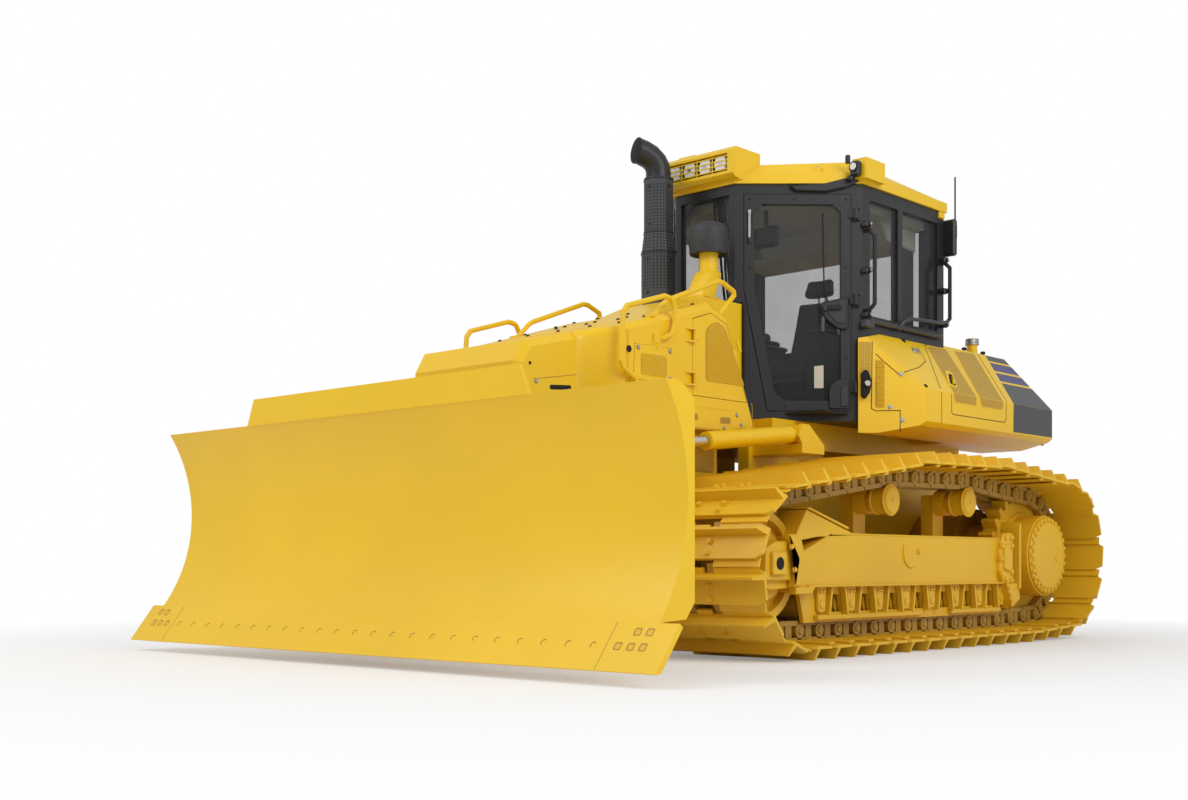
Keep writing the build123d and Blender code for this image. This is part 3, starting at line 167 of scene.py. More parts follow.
def makeEnamel(name, colour, share, rough, lowTone=None):
    # sprayed machine enamel: a slow drift of tone, faint orange peel, and a darker colour blended in towards the bottom
    finish = Finish(name, Coat_Weight=0.12, Coat_Roughness=0.25)
    tone = finish.spread(finish.noise(1.3, 3.0), 0.0, 1.0)
    paint = finish.blend(tone, colour, darker(colour, share))
    if lowTone:
        x, y, z = finish.axes()
        low = finish.spread(z + finish.noise(6.0, 4.0) * 0.35, 0.45, 0.0, 0.1, 1.25)
        paint = finish.blend(low, paint, lowTone)
    finish.feed("Base Color", paint)
    finish.feed("Roughness", finish.spread(finish.noise(38.0, 3.0), rough - 0.05, rough + 0.07))
    finish.bump(finish.noise(330.0, 2.0), 0.06, 0.0008)
    return finish.material


def makePlain(name, colour, rough, metal=0.0, grain=300.0, depth=0.12):
    # even finish with a fine grain in its gloss and relief
    finish = Finish(name, Metallic=metal)
    speck = finish.noise(grain, 2.0)
    finish.feed("Roughness", finish.spread(speck, rough - 0.06, rough + 0.06))
    finish.feed("Base Color", finish.blend(finish.noise(4.0, 3.0) * 0.4, colour, darker(colour, 0.78)))
    finish.bump(speck, depth, 0.0008)
    return finish.material


def makeGlass(name, colour, clear):
    finish = Finish(name, Base_Color=colour)
    haze = finish.noise(2.5, 3.0)
    finish.feed("Alpha", finish.spread(haze, clear - 0.03, clear + 0.03))
    finish.feed("Roughness", finish.spread(haze, 0.03, 0.07))
    return finish.material


def makeScreen(name, colour, hole, pitch, turn=(0, 0, 0)):
    # punched sheet: rows of round holes, read on the plane of the sheet; the holes are coloured darker, painted shade
    # of the space behind
    finish = Finish(name, Metallic=0.1)
    x, y, z = finish.axes((0, 0, 0), turn)
    near = finish.add("ShaderNodeMath", {"operation": "POWER"}, [y.wave(pitch), 2.0])
    far = finish.add("ShaderNodeMath", {"operation": "POWER"}, [z.wave(pitch), 2.0])
    punched = (near + far) < 0.1
    tone = finish.blend(finish.noise(9.0, 3.0), colour, darker(colour, 0.85))
    finish.feed("Base Color", finish.blend(punched, tone, hole))
    finish.feed("Roughness", finish.spread(finish.noise(60.0), 0.45, 0.6))
    finish.bump(punched * -1.0, 0.3, 0.003)
    return finish.material


def makeStack(name, colour, hole, plan):
    # rolled guard round the stack: rows of punched holes between two heights, coloured near-black as painted shade
    # behind them
    finish = Finish(name)
    x, y, z = finish.axes((plan["x"], plan["y"], 0))
    angle = finish.add("ShaderNodeMath", {"operation": "ARCTAN2"}, [y, x]) * (plan["holes"] / math.tau)
    row = (z * (1.0 / plan["rise"])).maths("FRACT") - 0.5
    column = angle.maths("FRACT") - 0.5
    near = (row * row) + (column * column)
    punched = (near < 0.1) * (z > plan["low"]) * (z < plan["high"])
    seam = abs(z - plan["step"]) < 0.004
    tone = finish.blend(finish.noise(5.0, 3.0), colour, darker(colour, 0.7))
    finish.feed("Base Color", finish.blend(punched, tone, hole))
    finish.feed("Roughness", finish.spread(finish.noise(120.0), 0.42, 0.55))
    finish.bump((punched + seam) * -1.0, 0.35, 0.004)
    return finish.material


paint = {"yellow": rgb(243, 198, 6), "track": rgb(238, 190, 26), "shadedYellow": rgb(184, 140, 32),
         "lowTone": rgb(214, 170, 42), "black": rgb(33, 34, 37), "hole": rgb(12, 12, 13)}
yellow = makeEnamel("yellow enamel", paint["yellow"], 0.94, 0.4)
trackYellow = makeEnamel("track enamel", paint["track"], 0.86, 0.5, paint["lowTone"])
# shadedYellow: the yellow enamel darkened, painted shade for pockets, countersinks, grooves and parts tucked in under
# the machine; also the colour of some seam lines
shadedYellow = makeEnamel("shaded enamel", paint["shadedYellow"], 0.8, 0.55)
black = makePlain("black enamel", paint["black"], 0.4)
satin = makePlain("satin steel", rgb(74, 76, 80), 0.38, 0.5)
rubber = makePlain("black rubber", rgb(22, 22, 23), 0.7)
plastic = makePlain("grained plastic", rgb(52, 53, 56), 0.6)
chrome = makePlain("chromed rod", rgb(228, 229, 231), 0.12, 1.0, 120.0, 0.02)
zinc = makePlain("zinc plate", rgb(196, 196, 190), 0.32, 0.9)
cloth = makePlain("seat cloth", rgb(58, 59, 62), 0.9, 0.0, 900.0, 0.4)
lining = makePlain("headliner", rgb(205, 200, 184), 0.85)
lens = makePlain("lamp lens", rgb(226, 228, 222), 0.15)
iron = makePlain("cast iron", rgb(84, 84, 86), 0.6, 0.3)
core = makePlain("cooler fins", rgb(96, 98, 100), 0.5, 0.6)
# near-black for holes, slots, a pipe mouth and the sheets behind louvres and lamps: painted shade where the machine is
# open; also real dark seams, plugs and the rubber stop
dark = makePlain("dark opening", paint["hole"], 0.8)
band = makePlain("grey band", rgb(66, 67, 70), 0.35)
stripe = makePlain("blue stripe", rgb(60, 62, 118), 0.35)
bronze = makePlain("worn bar", rgb(70, 64, 56), 0.35, 0.4)
glass = makeGlass("tinted glass", rgb(66, 70, 72), 0.24)
# the punched sheet is a darker yellow than the paint: painted shade seen through the mesh
screen = makeScreen("punched sheet", rgb(214, 172, 50), rgb(150, 114, 34), 0.009)
finishOf = {"yellow_paint": yellow, "track_paint": trackYellow, "dark_paint": black, "window_glass": glass,
            "chrome_rod": chrome, "seat_cloth": cloth, "lamp_lens": lens, "cast_grey": iron,
            "cab_plastic": plastic, "core_fins": core}
for part in frame["record"]["subparts"]:
    mesh = nodes[part["node"]].data
    mesh.materials.clear()
    mesh.materials.append(finishOf[part["material_slot"]])
stackHoles = {"x": -0.19, "y": -0.138, "holes": 30, "rise": 0.021, "low": 2.36, "high": 3.06, "step": 2.7}
# near-black holes: painted shade behind the guard
stackGuard = makeStack("stack guard", rgb(66, 68, 72), rgb(4, 4, 5), stackHoles)
print("finishes set")

studio = {"cameraPlace": (6.0464, -7.508, 0.5232), "cameraTurn": 42.8013, "lens": 43.64, "shiftUp": 0.1394,
          "floorSize": 60.0, "worldLight": 0.6}


def makeCamera():
    data = bpy.data.cameras.new("camera")
    data.lens = studio["lens"]
    data.sensor_width = 36.0
    data.shift_y = studio["shiftUp"]
    data.clip_end = 200.0
    camera = bpy.data.objects.new("camera", data)
    bpy.context.scene.collection.objects.link(camera)
    camera.location = studio["cameraPlace"]
    camera.rotation_euler = (math.radians(90.0), 0.0, math.radians(studio["cameraTurn"]))
    bpy.context.scene.camera = camera


def makeFloor():
    shape = bmesh.new()
    bmesh.ops.create_grid(shape, x_segments=2, y_segments=2, size=studio["floorSize"])
    mesh = bpy.data.meshes.new("floor")
    shape.to_mesh(mesh)
    shape.free()
    floor = bpy.data.objects.new("floor", mesh)
    bpy.context.scene.collection.objects.link(floor)
    finish = Finish("floor white", Base_Color=(0.86, 0.86, 0.86, 1.0), Roughness=0.9)
    seen = finish.add("ShaderNodeLightPath")
    glow = finish.add("ShaderNodeEmission", {}, {"Color": (1, 1, 1, 1), "Strength": 1.0})
    x, y, z = finish.axes()
    reach = finish.spread(((x * x) + (y * y)).maths("SQRT"), 0.24, 1.0, 2.6, 6.5)
    lift = finish.add("ShaderNodeMixShader", {}, [seen * reach, finish.shader.outputs[0], glow])
    finish.links.new(lift.link, finish.nodes["Material Output"].inputs["Surface"])
    mesh.materials.append(finish.material)


def makeWorld():
    world = bpy.data.worlds.new("studio")
    bpy.context.scene.world = world
    world.use_nodes = True
    tree = world.node_tree
    ground = tree.nodes["Background"]
    ground.inputs["Color"].default_value = (1, 1, 1, 1)
    ground.inputs["Strength"].default_value = studio["worldLight"]
    white = tree.nodes.new("ShaderNodeBackground")
    white.inputs["Color"].default_value = (1, 1, 1, 1)
    white.inputs["Strength"].default_value = 1.0
    path = tree.nodes.new("ShaderNodeLightPath")
    pick = tree.nodes.new("ShaderNodeMixShader")
    tree.links.new(path.outputs["Is Camera Ray"], pick.inputs[0])
    tree.links.new(ground.outputs[0], pick.inputs[1])
    tree.links.new(white.outputs[0], pick.inputs[2])
    tree.links.new(pick.outputs[0], tree.nodes["World Output"].inputs["Surface"])


def makeLamp(name, place, target, size, watts):
    data = bpy.data.lights.new(name, "AREA")
    data.shape = "DISK"
    data.size = size
    data.energy = watts
    lamp = bpy.data.objects.new(name, data)
    bpy.context.scene.collection.objects.link(lamp)
    lamp.location = place
    lamp.rotation_euler = (Vector(target) - Vector(place)).to_track_quat("-Z", "Y").to_euler()


makeCamera()
makeFloor()
makeWorld()
makeLamp("key lamp", (-3.0, -9.0, 9.0), (0, 0, 1.0), 7.0, 400)
makeLamp("side lamp", (10.0, -2.0, 7.5), (0, 0.5, 1.0), 6.0, 430)
bpy.context.scene.view_settings.view_transform = "Standard"
print("studio set")


def closePiece(name, shape, body, slotName, *finishes, smooth=0.0, mirrorTo=None):
    # a finished shape becomes an object that rides on a body
    if mirrorTo:
        other = shape.copy()
        bmesh.ops.transform(other, matrix=Matrix.Diagonal((-1, 1, 1, 1)), verts=other.verts)
        closePiece(name + mirrorTo, other, body.replace("left", "right"), slotName, *finishes, smooth=smooth)
        name = name + "Left"
    bmesh.ops.recalc_face_normals(shape, faces=shape.faces)
    mesh = bpy.data.meshes.new(name)
    shape.to_mesh(mesh)
    shape.free()
    for finish in finishes:
        mesh.materials.append(finish)
    if smooth:
        mesh.shade_smooth()
        mesh.set_sharp_from_angle(angle=math.radians(smooth))
    piece = bpy.data.objects.new(name, mesh)
    bpy.context.scene.collection.objects.link(piece)
    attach(piece, body)
    return piece


def facing(origin, right, up):
    # local frame on a surface: X along it, Y up it, Z out of it
    right = Vector(right).normalized()
    out = right.cross(Vector(up)).normalized()
    turned = Matrix((right, out.cross(right), out)).transposed().to_4x4()
    turned.translation = origin
    return turned


def paintFaces(verts, paintIndex):
    for vert in verts:
        for face in vert.link_faces:
            face.material_index = paintIndex


def bevelEdges(shape, verts, size, segments=1):
    edges = list({edge for vert in verts for edge in vert.link_edges})
    bmesh.ops.bevel(shape, geom=edges, offset=size, offset_type="OFFSET", segments=segments, affect="EDGES",
                    profile=0.5, material=-1)


def addBox(shape, low, high, edge=0.0, paintIndex=0, place=Matrix()):
    size = [b - a for a, b in zip(low, high)]
    middle = [(a + b) / 2 for a, b in zip(low, high)]
    made = bmesh.ops.create_cube(shape, size=1.0, matrix=place @ Matrix.Translation(middle)
                                 @ Matrix.Diagonal((*size, 1.0)))["verts"]
    paintFaces(made, paintIndex)
    if edge:
        bevelEdges(shape, made, edge)


def addDisc(shape, place, radius, low, high, sides=16, edge=0.0, paintIndex=0, tip=None):
    # round or many-sided block whose axis is the Z of its place
    made = bmesh.ops.create_cone(shape, cap_ends=True, segments=sides, radius1=radius,
                                 radius2=radius if tip is None else tip, depth=high - low,
                                 matrix=place @ Matrix.Translation((0, 0, (low + high) / 2)))["verts"]
    paintFaces(made, paintIndex)
    if edge:
        bevelEdges(shape, made, edge)


def addBolt(shape, place, size, paintIndex=0):
    # washer and six-sided head with its top edge taken off
    addDisc(shape, place, size * 1.25, -0.001, size * 0.22, 12, 0.0, paintIndex)
    addDisc(shape, place, size, size * 0.2, size * 0.6, 6, 0.0, paintIndex)
    addDisc(shape, place, size, size * 0.59, size * 0.85, 6, 0.0, paintIndex, size * 0.72)


def at(x, y, z=0.0):
    return Matrix.Translation((x, y, z))


def along(axis):
    return Vector(axis).to_track_quat("Z", "Y").to_matrix().to_4x4()


def outlineFace(shape, outline, depth, place, corner=0.0, round=3):
    # one flat face with the outline, its corners rounded
    before = set(shape.faces)
    face = shape.faces.new([shape.verts.new(place @ Vector((x, y, depth))) for x, y in outline])
    if corner:
        bmesh.ops.bevel(shape, geom=face.verts[:], offset=corner, segments=round, affect="VERTICES",
                        profile=0.5, material=-1)
    return max((face for face in shape.faces if face not in before), key=lambda face: face.calc_area())


def addPlate(shape, outline, low, high, place=Matrix(), corner=0.0, edge=0.0, paintIndex=0, round=3):
    # flat plate with an outline, rounded corners and a softened outer edge
    face = outlineFace(shape, outline, low, place, corner, round)
    face.material_index = paintIndex
    out = place.to_3x3() @ Vector((0, 0, high - low))
    made = bmesh.ops.extrude_face_region(shape, geom=[face], use_keep_orig=True)["geom"]
    bmesh.ops.translate(shape, vec=out, verts=[item for item in made if isinstance(item, bmesh.types.BMVert)])
    if edge:
        rim = [item for item in made if isinstance(item, bmesh.types.BMEdge)]
        bmesh.ops.bevel(shape, geom=rim, offset=edge, segments=1, affect="EDGES", profile=0.5, material=-1)


def addRing(shape, outline, width, low, high, place=Matrix(), corner=0.0, paintIndex=0, round=3):
    # flat frame round an opening
    face = outlineFace(shape, outline, low, place, corner, round)
    face.material_index = paintIndex
    rim = bmesh.ops.inset_region(shape, faces=[face], thickness=width, use_even_offset=True)["faces"]
    bmesh.ops.delete(shape, geom=[face], context="FACES_ONLY")
    out = place.to_3x3() @ Vector((0, 0, high - low))
    made = bmesh.ops.extrude_face_region(shape, geom=rim, use_keep_orig=True)["geom"]
    bmesh.ops.translate(shape, vec=out, verts=[item for item in made if isinstance(item, bmesh.types.BMVert)])


def spanAt(outline, height):
    # left and right limits of an outline at a height
    found = []
    for (x0, y0), (x1, y1) in zip(outline, outline[1:] + outline[:1]):
        if (y0 - height) * (y1 - height) < 0:
            found.append(x0 + (x1 - x0) * (height - y0) / (y1 - y0))
    return (min(found), max(found)) if len(found) > 1 else None


def addLouvres(shape, outline, pitch, thick, low, high, place=Matrix(), lean=0.0, paintIndex=0, trim=0.0):
    # slats across an outline, one above another
    bottom = min(y for x, y in outline) + pitch * 0.6
    top = max(y for x, y in outline) - pitch * 0.4
    height = bottom
    while height < top:
        limits = spanAt(outline, height)
        if limits and limits[1] - limits[0] > 2.5 * trim + 0.01:
            tilt = place @ at(0, height) @ Matrix.Rotation(lean, 4, "X")
            addBox(shape, (limits[0] + trim, -thick / 2, low), (limits[1] - trim, thick / 2, high), 0.0, paintIndex,
                   tilt)
        height += pitch


def addSeam(shape, points, place, width=0.004, proud=0.0012, paintIndex=0):
    # dark line where two panels meet
    for (x0, y0), (x1, y1) in zip(points, points[1:]):
        length = math.hypot(x1 - x0, y1 - y0)
        turn = place @ at(x0, y0) @ Matrix.Rotation(math.atan2(y1 - y0, x1 - x0), 4, "Z")
        addBox(shape, (-width / 2, -width / 2, -0.002), (length + width / 2, width / 2, proud), 0.0, paintIndex, turn)


def makeTube(name, points, radius, body, finish, smoothRun=True):
    # bent tube or hose through its points
    data = bpy.data.curves.new(name, "CURVE")
    data.dimensions = "3D"
    data.bevel_depth = radius
    data.bevel_resolution = 3
    data.resolution_u = 6
    data.use_fill_caps = True
    run = data.splines.new("NURBS" if smoothRun else "POLY")
    run.points.add(len(points) - 1)
    for point, place in zip(run.points, points):
        point.co = (*place, 1.0)
    if smoothRun:
        run.order_u = 3
        run.use_endpoint_u = True
    data.materials.append(finish)
    piece = bpy.data.objects.new(name, data)
    bpy.context.scene.collection.objects.link(piece)
    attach(piece, body)
    return piece


chain = {"middle": 1.125, "width": 0.91, "pitch": 0.2032, "count": 45, "outToPlate": 0.064, "plate": 0.016,
         "bar": 0.063, "railAt": 0.088, "railWide": 0.044, "firstBar": -0.86,
         "bolts": ((0.052, 0.018), (0.118, 0.018))}
chainWheels = ((-0.92, 0.52, 0.377), (1.8, 0.299, 0.156), (2.337, 0.595, 0.4286), (1.43, 0.955, 0.148),
               (0.43, 0.938, 0.148))


def chainStations():
    # middle and heading of each shoe, evenly spaced round the loop of the pins
    count = len(chainWheels)
    leaves = []
    for index, (y1, z1, r1) in enumerate(chainWheels):
        y2, z2, r2 = chainWheels[(index + 1) % count]
        leaves.append(math.atan2(z2 - z1, y2 - y1) - math.pi / 2
                      + math.atan2(r1 - r2, math.hypot(y2 - y1, z2 - z1)))
    runs = []
    for index, (y1, z1, r1) in enumerate(chainWheels):
        y2, z2, r2 = chainWheels[(index + 1) % count]
        came, goes = leaves[index - 1], leaves[index]
        while goes < came:
            goes += 2 * math.pi
        runs.append((r1 * (goes - came), (y1, z1), r1, came, None))
        start = (y1 + r1 * math.cos(goes), z1 + r1 * math.sin(goes))
        end = (y2 + r2 * math.cos(goes), z2 + r2 * math.sin(goes))
        runs.append((math.dist(start, end), start, 0.0, math.atan2(end[1] - start[1], end[0] - start[0]), end))
    total = sum(run[0] for run in runs)
    found = []
    for number in range(chain["count"]):
        s = (runs[0][0] + chain["firstBar"] - chainWheels[0][0] + number * total / chain["count"]) % total
        index = 0
        while s > runs[index][0]:
            s -= runs[index][0]
            index += 1
        length, place, radius, angle, end = runs[index]
        if end:
            found.append((place[0] + s * math.cos(angle), place[1] + s * math.sin(angle), angle))
        else:
            turn = angle + s / radius
            found.append((place[0] + radius * math.cos(turn), place[1] + radius * math.sin(turn),
                          turn + math.pi / 2))
    return found


def oneShoe():
    # shoe, bar, bolts and the two links under it, in the shoe's own place
    shape = bmesh.new()
    half, low = chain["width"] / 2, chain["outToPlate"]
    top = low + chain["plate"]
    heel, toe = -0.05, 0.151
    cut = 0.03
    notches = [(s * (chain["railAt"] + d), y) for s in (-1, 1) for d, y in
               ((-s * 0.036, heel), (-s * 0.036, heel + cut), (s * 0.036, heel + cut), (s * 0.036, heel))]
    outline = [(-half, heel + 0.026), (-half + 0.062, heel), *notches, (half - 0.062, heel), (half, heel + 0.026),
               (half, toe - 0.03), (half - 0.05, toe), (-half + 0.05, toe), (-half, toe - 0.03)]
    addPlate(shape, outline, low, top, paintIndex=0)
    addBox(shape, (-half + 0.05, toe - 0.012, low - 0.012), (half - 0.05, toe, low + 0.004))
    # lip that runs under the next shoe, so no gap opens where the chain turns
    for x in (-half / 2 - 0.05, half / 2 + 0.05):
        reach = half / 2 - 0.075
        lip = bmesh.ops.create_cube(shape, size=1.0, matrix=at(x, toe + 0.012, low - 0.009)
                                    @ Matrix.Diagonal((2 * reach, 0.05, 0.01, 1)))["verts"]
        bmesh.ops.translate(shape, vec=(0, 0, -0.006), verts=[vert for vert in lip if vert.co.y > toe + 0.02])
    made = bmesh.ops.create_cube(shape, size=1.0, matrix=at(0, 0, top + chain["bar"] / 2 - 0.001)
                                 @ Matrix.Diagonal((2 * half, 0.032, chain["bar"] + 0.002, 1)))["verts"]
    tips = [vert for vert in made if vert.co.z > top + 0.01]
    bmesh.ops.scale(shape, vec=(0.93, 0.45, 1.0), verts=tips)
    for y, size in chain["bolts"]:
        for side in (-1, 1):
            place = at(side * chain["railAt"], y, top)
            addDisc(shape, place, size * 1.15, -0.001, 0.006, 10)
            addDisc(shape, place, size, 0.005, 0.021, 6, 0.0, 0, size * 0.8)
    joint = chain["pitch"] / 2
    for side in (-1, 1):
        x = side * chain["railAt"]
        w = chain["railWide"] / 2
        addBox(shape, (x - w, -joint + 0.007, -0.06), (x + w, joint - 0.007, -0.03), 0.0, 1)
        addBox(shape, (x - w, -joint + 0.028, 0.038), (x + w, joint - 0.016, low), 0.0, 1)
        addBox(shape, (x - w * 0.8, -0.03, -0.035), (x + w * 0.8, 0.03, 0.045), 0.0, 1)
        boss = at(x, joint) @ along((side, 0, 0))
        addDisc(shape, boss, 0.042, -w - 0.004, w + 0.006, 12, 0.0, 1)
        addDisc(shape, boss, 0.024, w, w + 0.014, 8, 0.0, 1, 0.019)
    addDisc(shape, at(0, joint) @ along((1, 0, 0)), 0.03, -chain["railAt"], chain["railAt"], 10, 0.0, 1)
    mesh = bpy.data.meshes.new("shoe")
    shape.to_mesh(mesh)
    shape.free()
    return mesh


def makeTracks():
    shoe = oneShoe()
    shape = bmesh.new()
    for y, z, heading in chainStations():
        start = len(shape.verts)
        shape.from_mesh(shoe)
        shape.verts.ensure_lookup_table()
        across, out = (1, 0, 0), (0, math.sin(heading), -math.cos(heading))
        turned = Matrix((across, (0, math.cos(heading), math.sin(heading)), out)).transposed().to_4x4()
        turned.translation = (chain["middle"], y, z)
        bmesh.ops.transform(shape, matrix=turned, verts=shape.verts[start:])
    other = shape.copy()
    bmesh.ops.transform(other, matrix=Matrix.Diagonal((-1, 1, 1, 1)), verts=other.verts)
    for side, made in (("Left", shape), ("Right", other)):
        piece = closePiece("trackShoes" + side, made, "chassis", "track_paint", trackYellow, linkShadeYellow)
        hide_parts("track_" + side.lower())


# track links in a darker brown-yellow: painted shade under the shoes
linkShadeYellow = makeEnamel("link enamel in painted shade", rgb(188, 148, 56), 0.72, 0.55)
makeTracks()
print("tracks made")

undercarriage = {"frameOut": 1.325, "guardOut": 1.276, "drum": (2.337, 0.595, 0.288, 1.403),
                 "coverBolts": 28, "disc": (0.54, 0.605, 0.098)}


def makeUndercarriage():
    shape = bmesh.new()
    out = undercarriage["frameOut"]
    side = facing((out, 0, 0), (0, 1, 0), (0, 0, 1))       # X along +Y, Y up, Z out to the left
    y, z, radius = undercarriage["disc"]
    addPlate(shape, [(y + radius * math.cos(a), z + radius * math.sin(a)) for a in
                     [math.radians(150 + 15 * k) for k in range(13)]], -0.002, 0.012, side, edge=0.004)
    for k in (-1, 1):
        addBolt(shape, side @ at(y + 0.02 + k * 0.075, z + 0.01, 0.001), 0.018)
    # front: idler yoke, its square boss with a round hole (a near-black disc, painted shade), and the rib behind it
    addPlate(shape, [(-1.04, 0.44), (-1.03, 0.62), (-0.94, 0.66), (-0.74, 0.66), (-0.74, 0.44)], -0.08, 0.02,
             side, 0.02, 0.006)
    addPlate(shape, [(-1.0, 0.47), (-1.0, 0.6), (-0.87, 0.6), (-0.87, 0.47)], 0.019, 0.045, side, 0.012, 0.006)
    addDisc(shape, side @ at(-0.935, 0.535, 0.046), 0.036, -0.002, 0.001, 18, 0.0, 1)
    addRing(shape, [(-0.935 + 0.046 * math.cos(k * math.pi / 9), 0.535 + 0.046 * math.sin(k * math.pi / 9))
                    for k in range(18)], 0.011, 0.044, 0.052, side)
    addPlate(shape, [(-0.86, 0.7), (-0.74, 0.7), (-0.7, 0.58), (-0.72, 0.42), (-0.8, 0.4), (-0.76, 0.56)],
             0.0, 0.05, side, 0.01, 0.006)
    for by, bz in ((-0.83, 0.63), (-0.8, 0.5)):
        addBolt(shape, side @ at(by, bz, 0.046), 0.016)
    addPlate(shape, [(-0.76, 0.402), (-0.76, 0.36), (-0.6, 0.36), (-0.56, 0.402)], -0.02, 0.03, side, 0.0, 0.004)
    # lip under the box and the weld line along its top
    addBox(shape, (out - 0.006, -0.62, 0.398), (out + 0.024, 1.86, 0.41), 0.003)
    addBox(shape, (out - 0.02, -0.36, 0.704), (out + 0.004, 1.8, 0.716), 0.003)
    # ramp over the front roller and its folded step
    addPlate(shape, [(-0.73, 0.66), (-0.7, 0.72), (-0.61, 0.845), (-0.12, 0.716), (-0.12, 0.7), (-0.5, 0.69)],
             -0.2, 0.0, side, 0.0, 0.004)
    addPlate(shape, [(-0.61, 0.852), (-0.605, 0.86), (-0.19, 0.752), (-0.195, 0.74)], -0.22, 0.012, side)
    for by, bz in ((-0.5, 0.826), (-0.35, 0.787)):
        addBolt(shape, facing((out - 0.06, by, bz), (1, 0, 0), (0, 0.96, -0.25)), 0.012)
    # two guard sections: slanted posts between the rollers and a rail under them
    for start, end in ((-0.47, 0.72), (1.1, 1.78)):
        addBox(shape, (undercarriage["guardOut"], start, 0.205), (undercarriage["guardOut"] + 0.034, end, 0.235),
               0.004)
    spacing = 2.22 / 7
    for number in range(8):
        y = -0.42 + number * spacing
        face = facing((1.28, 0, 0), (0, 1, 0), (0, 0, 1))
        addPlate(shape, [(y - 0.045, 0.4), (y - 0.032, 0.25), (y + 0.032, 0.25), (y + 0.045, 0.4)], 0.0, 0.022,
                 face, 0.012, 0.004)
        for dy in (-0.018, 0.018):
            addBolt(shape, face @ at(y + dy, 0.372, 0.022), 0.012)
        addDisc(shape, face @ at(y, 0.3), 0.026, 0.02, 0.028, 16, 0.0)
        if number < 7:
            for k in (-1, 1):
                foot, head = y + spacing / 2 + k * 0.098, y + spacing / 2 + k * 0.07
                addPlate(shape, [(foot - 0.009, 0.235), (foot + 0.009, 0.235), (head + 0.009, 0.4),
                                 (head - 0.009, 0.4)], 0.0, 0.036, face)
    # clamp plate behind, with its bolts, and the slanted rear guard
    addPlate(shape, [(1.74, 0.4), (1.68, 0.48), (1.68, 0.66), (1.74, 0.75), (1.87, 0.75), (1.87, 0.4)], -0.02, 0.03,
             side, 0.015, 0.006)
    addPlate(shape, [(1.72, 0.5), (1.8, 0.48), (1.8, 0.68), (1.72, 0.66)], 0.029, 0.05, side, 0.015, 0.008)
    for by, bz in ((1.7, 0.66), (1.69, 0.57), (1.7, 0.47), (1.76, 0.72), (1.76, 0.43), (1.84, 0.72), (1.84, 0.66),
                   (1.84, 0.48), (1.84, 0.42)):
        addBolt(shape, side @ at(by, bz, 0.03), 0.02)
    addPlate(shape, [(1.78, 0.4), (1.86, 0.23), (1.98, 0.29), (1.95, 0.4)], -0.05, 0.03, side, 0.0, 0.004)
    addPlate(shape, [(1.93, 0.36), (1.93, 0.79), (1.955, 0.83), (1.955, 0.36)], -0.1, 0.05, side, 0.0, 0.003)
    for k in range(3):
        addBolt(shape, side @ at(1.81 + 0.018 * k, 0.37 - 0.045 * k, 0.03), 0.013)
    closePiece("trackFrameFittings", shape, "chassis", "track_paint", trackYellow, dark, mirrorTo="Right")


def makeFinalDrive():
    shape = bmesh.new()
    y, z, radius, end = undercarriage["drum"]
    face = facing((end, y, z), (0, 1, 0), (0, 0, 1))
    addDisc(shape, face, radius, -0.215, -0.03, 64, 0.008)
    addDisc(shape, face, radius - 0.012, -0.031, -0.012, 64, 0.006)
    addDisc(shape, face, radius - 0.055, -0.014, 0.0, 64, 0.006)
    for k in range(undercarriage["coverBolts"]):
        turn = Matrix.Rotation(k * math.tau / undercarriage["coverBolts"], 4, "Z")
        addBolt(shape, face @ turn @ at(radius - 0.032, 0, -0.012), 0.016)
    addDisc(shape, face @ at(0.11, -0.02), 0.016, 0.0, 0.008, 6, 0.001)
    addDisc(shape, face, radius + 0.03, -0.25, -0.205, 64, 0.01)
    # cover behind the front idler's slide
    addBox(shape, (0.96, -0.74, 0.37), (1.29, -0.7, 0.69), 0.004)
    # casing between the main frame and the sprocket, in the darker yellow as painted shade
    inner = facing((0.88, y, z), (0, 1, 0), (0, 0, 1))
    addDisc(shape, inner, 0.335, -0.45, -0.06, 48, 0.012, 1)
    addDisc(shape, inner, 0.35, -0.09, -0.05, 48, 0.006, 1)
    for k in range(16):
        turn = Matrix.Rotation(k * math.tau / 16, 4, "Z")
        addBolt(shape, inner @ turn @ at(0.315, 0, -0.05), 0.014, 1)
    closePiece("finalDrive", shape, "chassis", "track_paint", trackYellow, shadedYellow, smooth=30.0, mirrorTo="Right")


def makeWheels():
    shape = bmesh.new()
    for y, z in ((0.43, 0.938), (1.43, 0.955)):
        face = facing((1.26, y, z), (0, 1, 0), (0, 0, 1))
        addDisc(shape, face, 0.086, -0.03, 0.004, 40, 0.008)
        # rings on each carrier face in the darker yellow: painted shade in the grooves
        for radius, low in ((0.068, 0.003), (0.034, 0.003)):
            addRing(shape, [(radius * math.cos(k * math.tau / 28), radius * math.sin(k * math.tau / 28))
                            for k in range(28)], 0.007, low, 0.0055, face, 0.0, 1)
        addDisc(shape, face, 0.012, 0.0, 0.009, 12, 0.002)
        addDisc(shape, face, 0.094, -0.125, -0.105, 40, 0.006)
        addDisc(shape, face, 0.102, -0.02, -0.006, 40, 0.005)
    spacing = 2.22 / 7
    for number in range(8):
        face = facing((1.235, -0.42 + number * spacing, 0.299), (0, 1, 0), (0, 0, 1))
        addDisc(shape, face, 0.104, -0.075, -0.06, 40, 0.005)
        addDisc(shape, face, 0.07, -0.002, 0.028, 28, 0.008)
        addDisc(shape, face, 0.03, 0.02, 0.036, 16, 0.004)
    face = facing((1.235, -0.92, 0.52), (0, 1, 0), (0, 0, 1))
    addDisc(shape, face, 0.2, -0.05, 0.02, 40, 0.012)
    closePiece("rollerFaces", shape, "chassis", "track_paint", trackYellow, shadedYellow, smooth=30.0, mirrorTo="Right")


makeUndercarriage()
makeFinalDrive()
makeWheels()
print("undercarriage dressed")

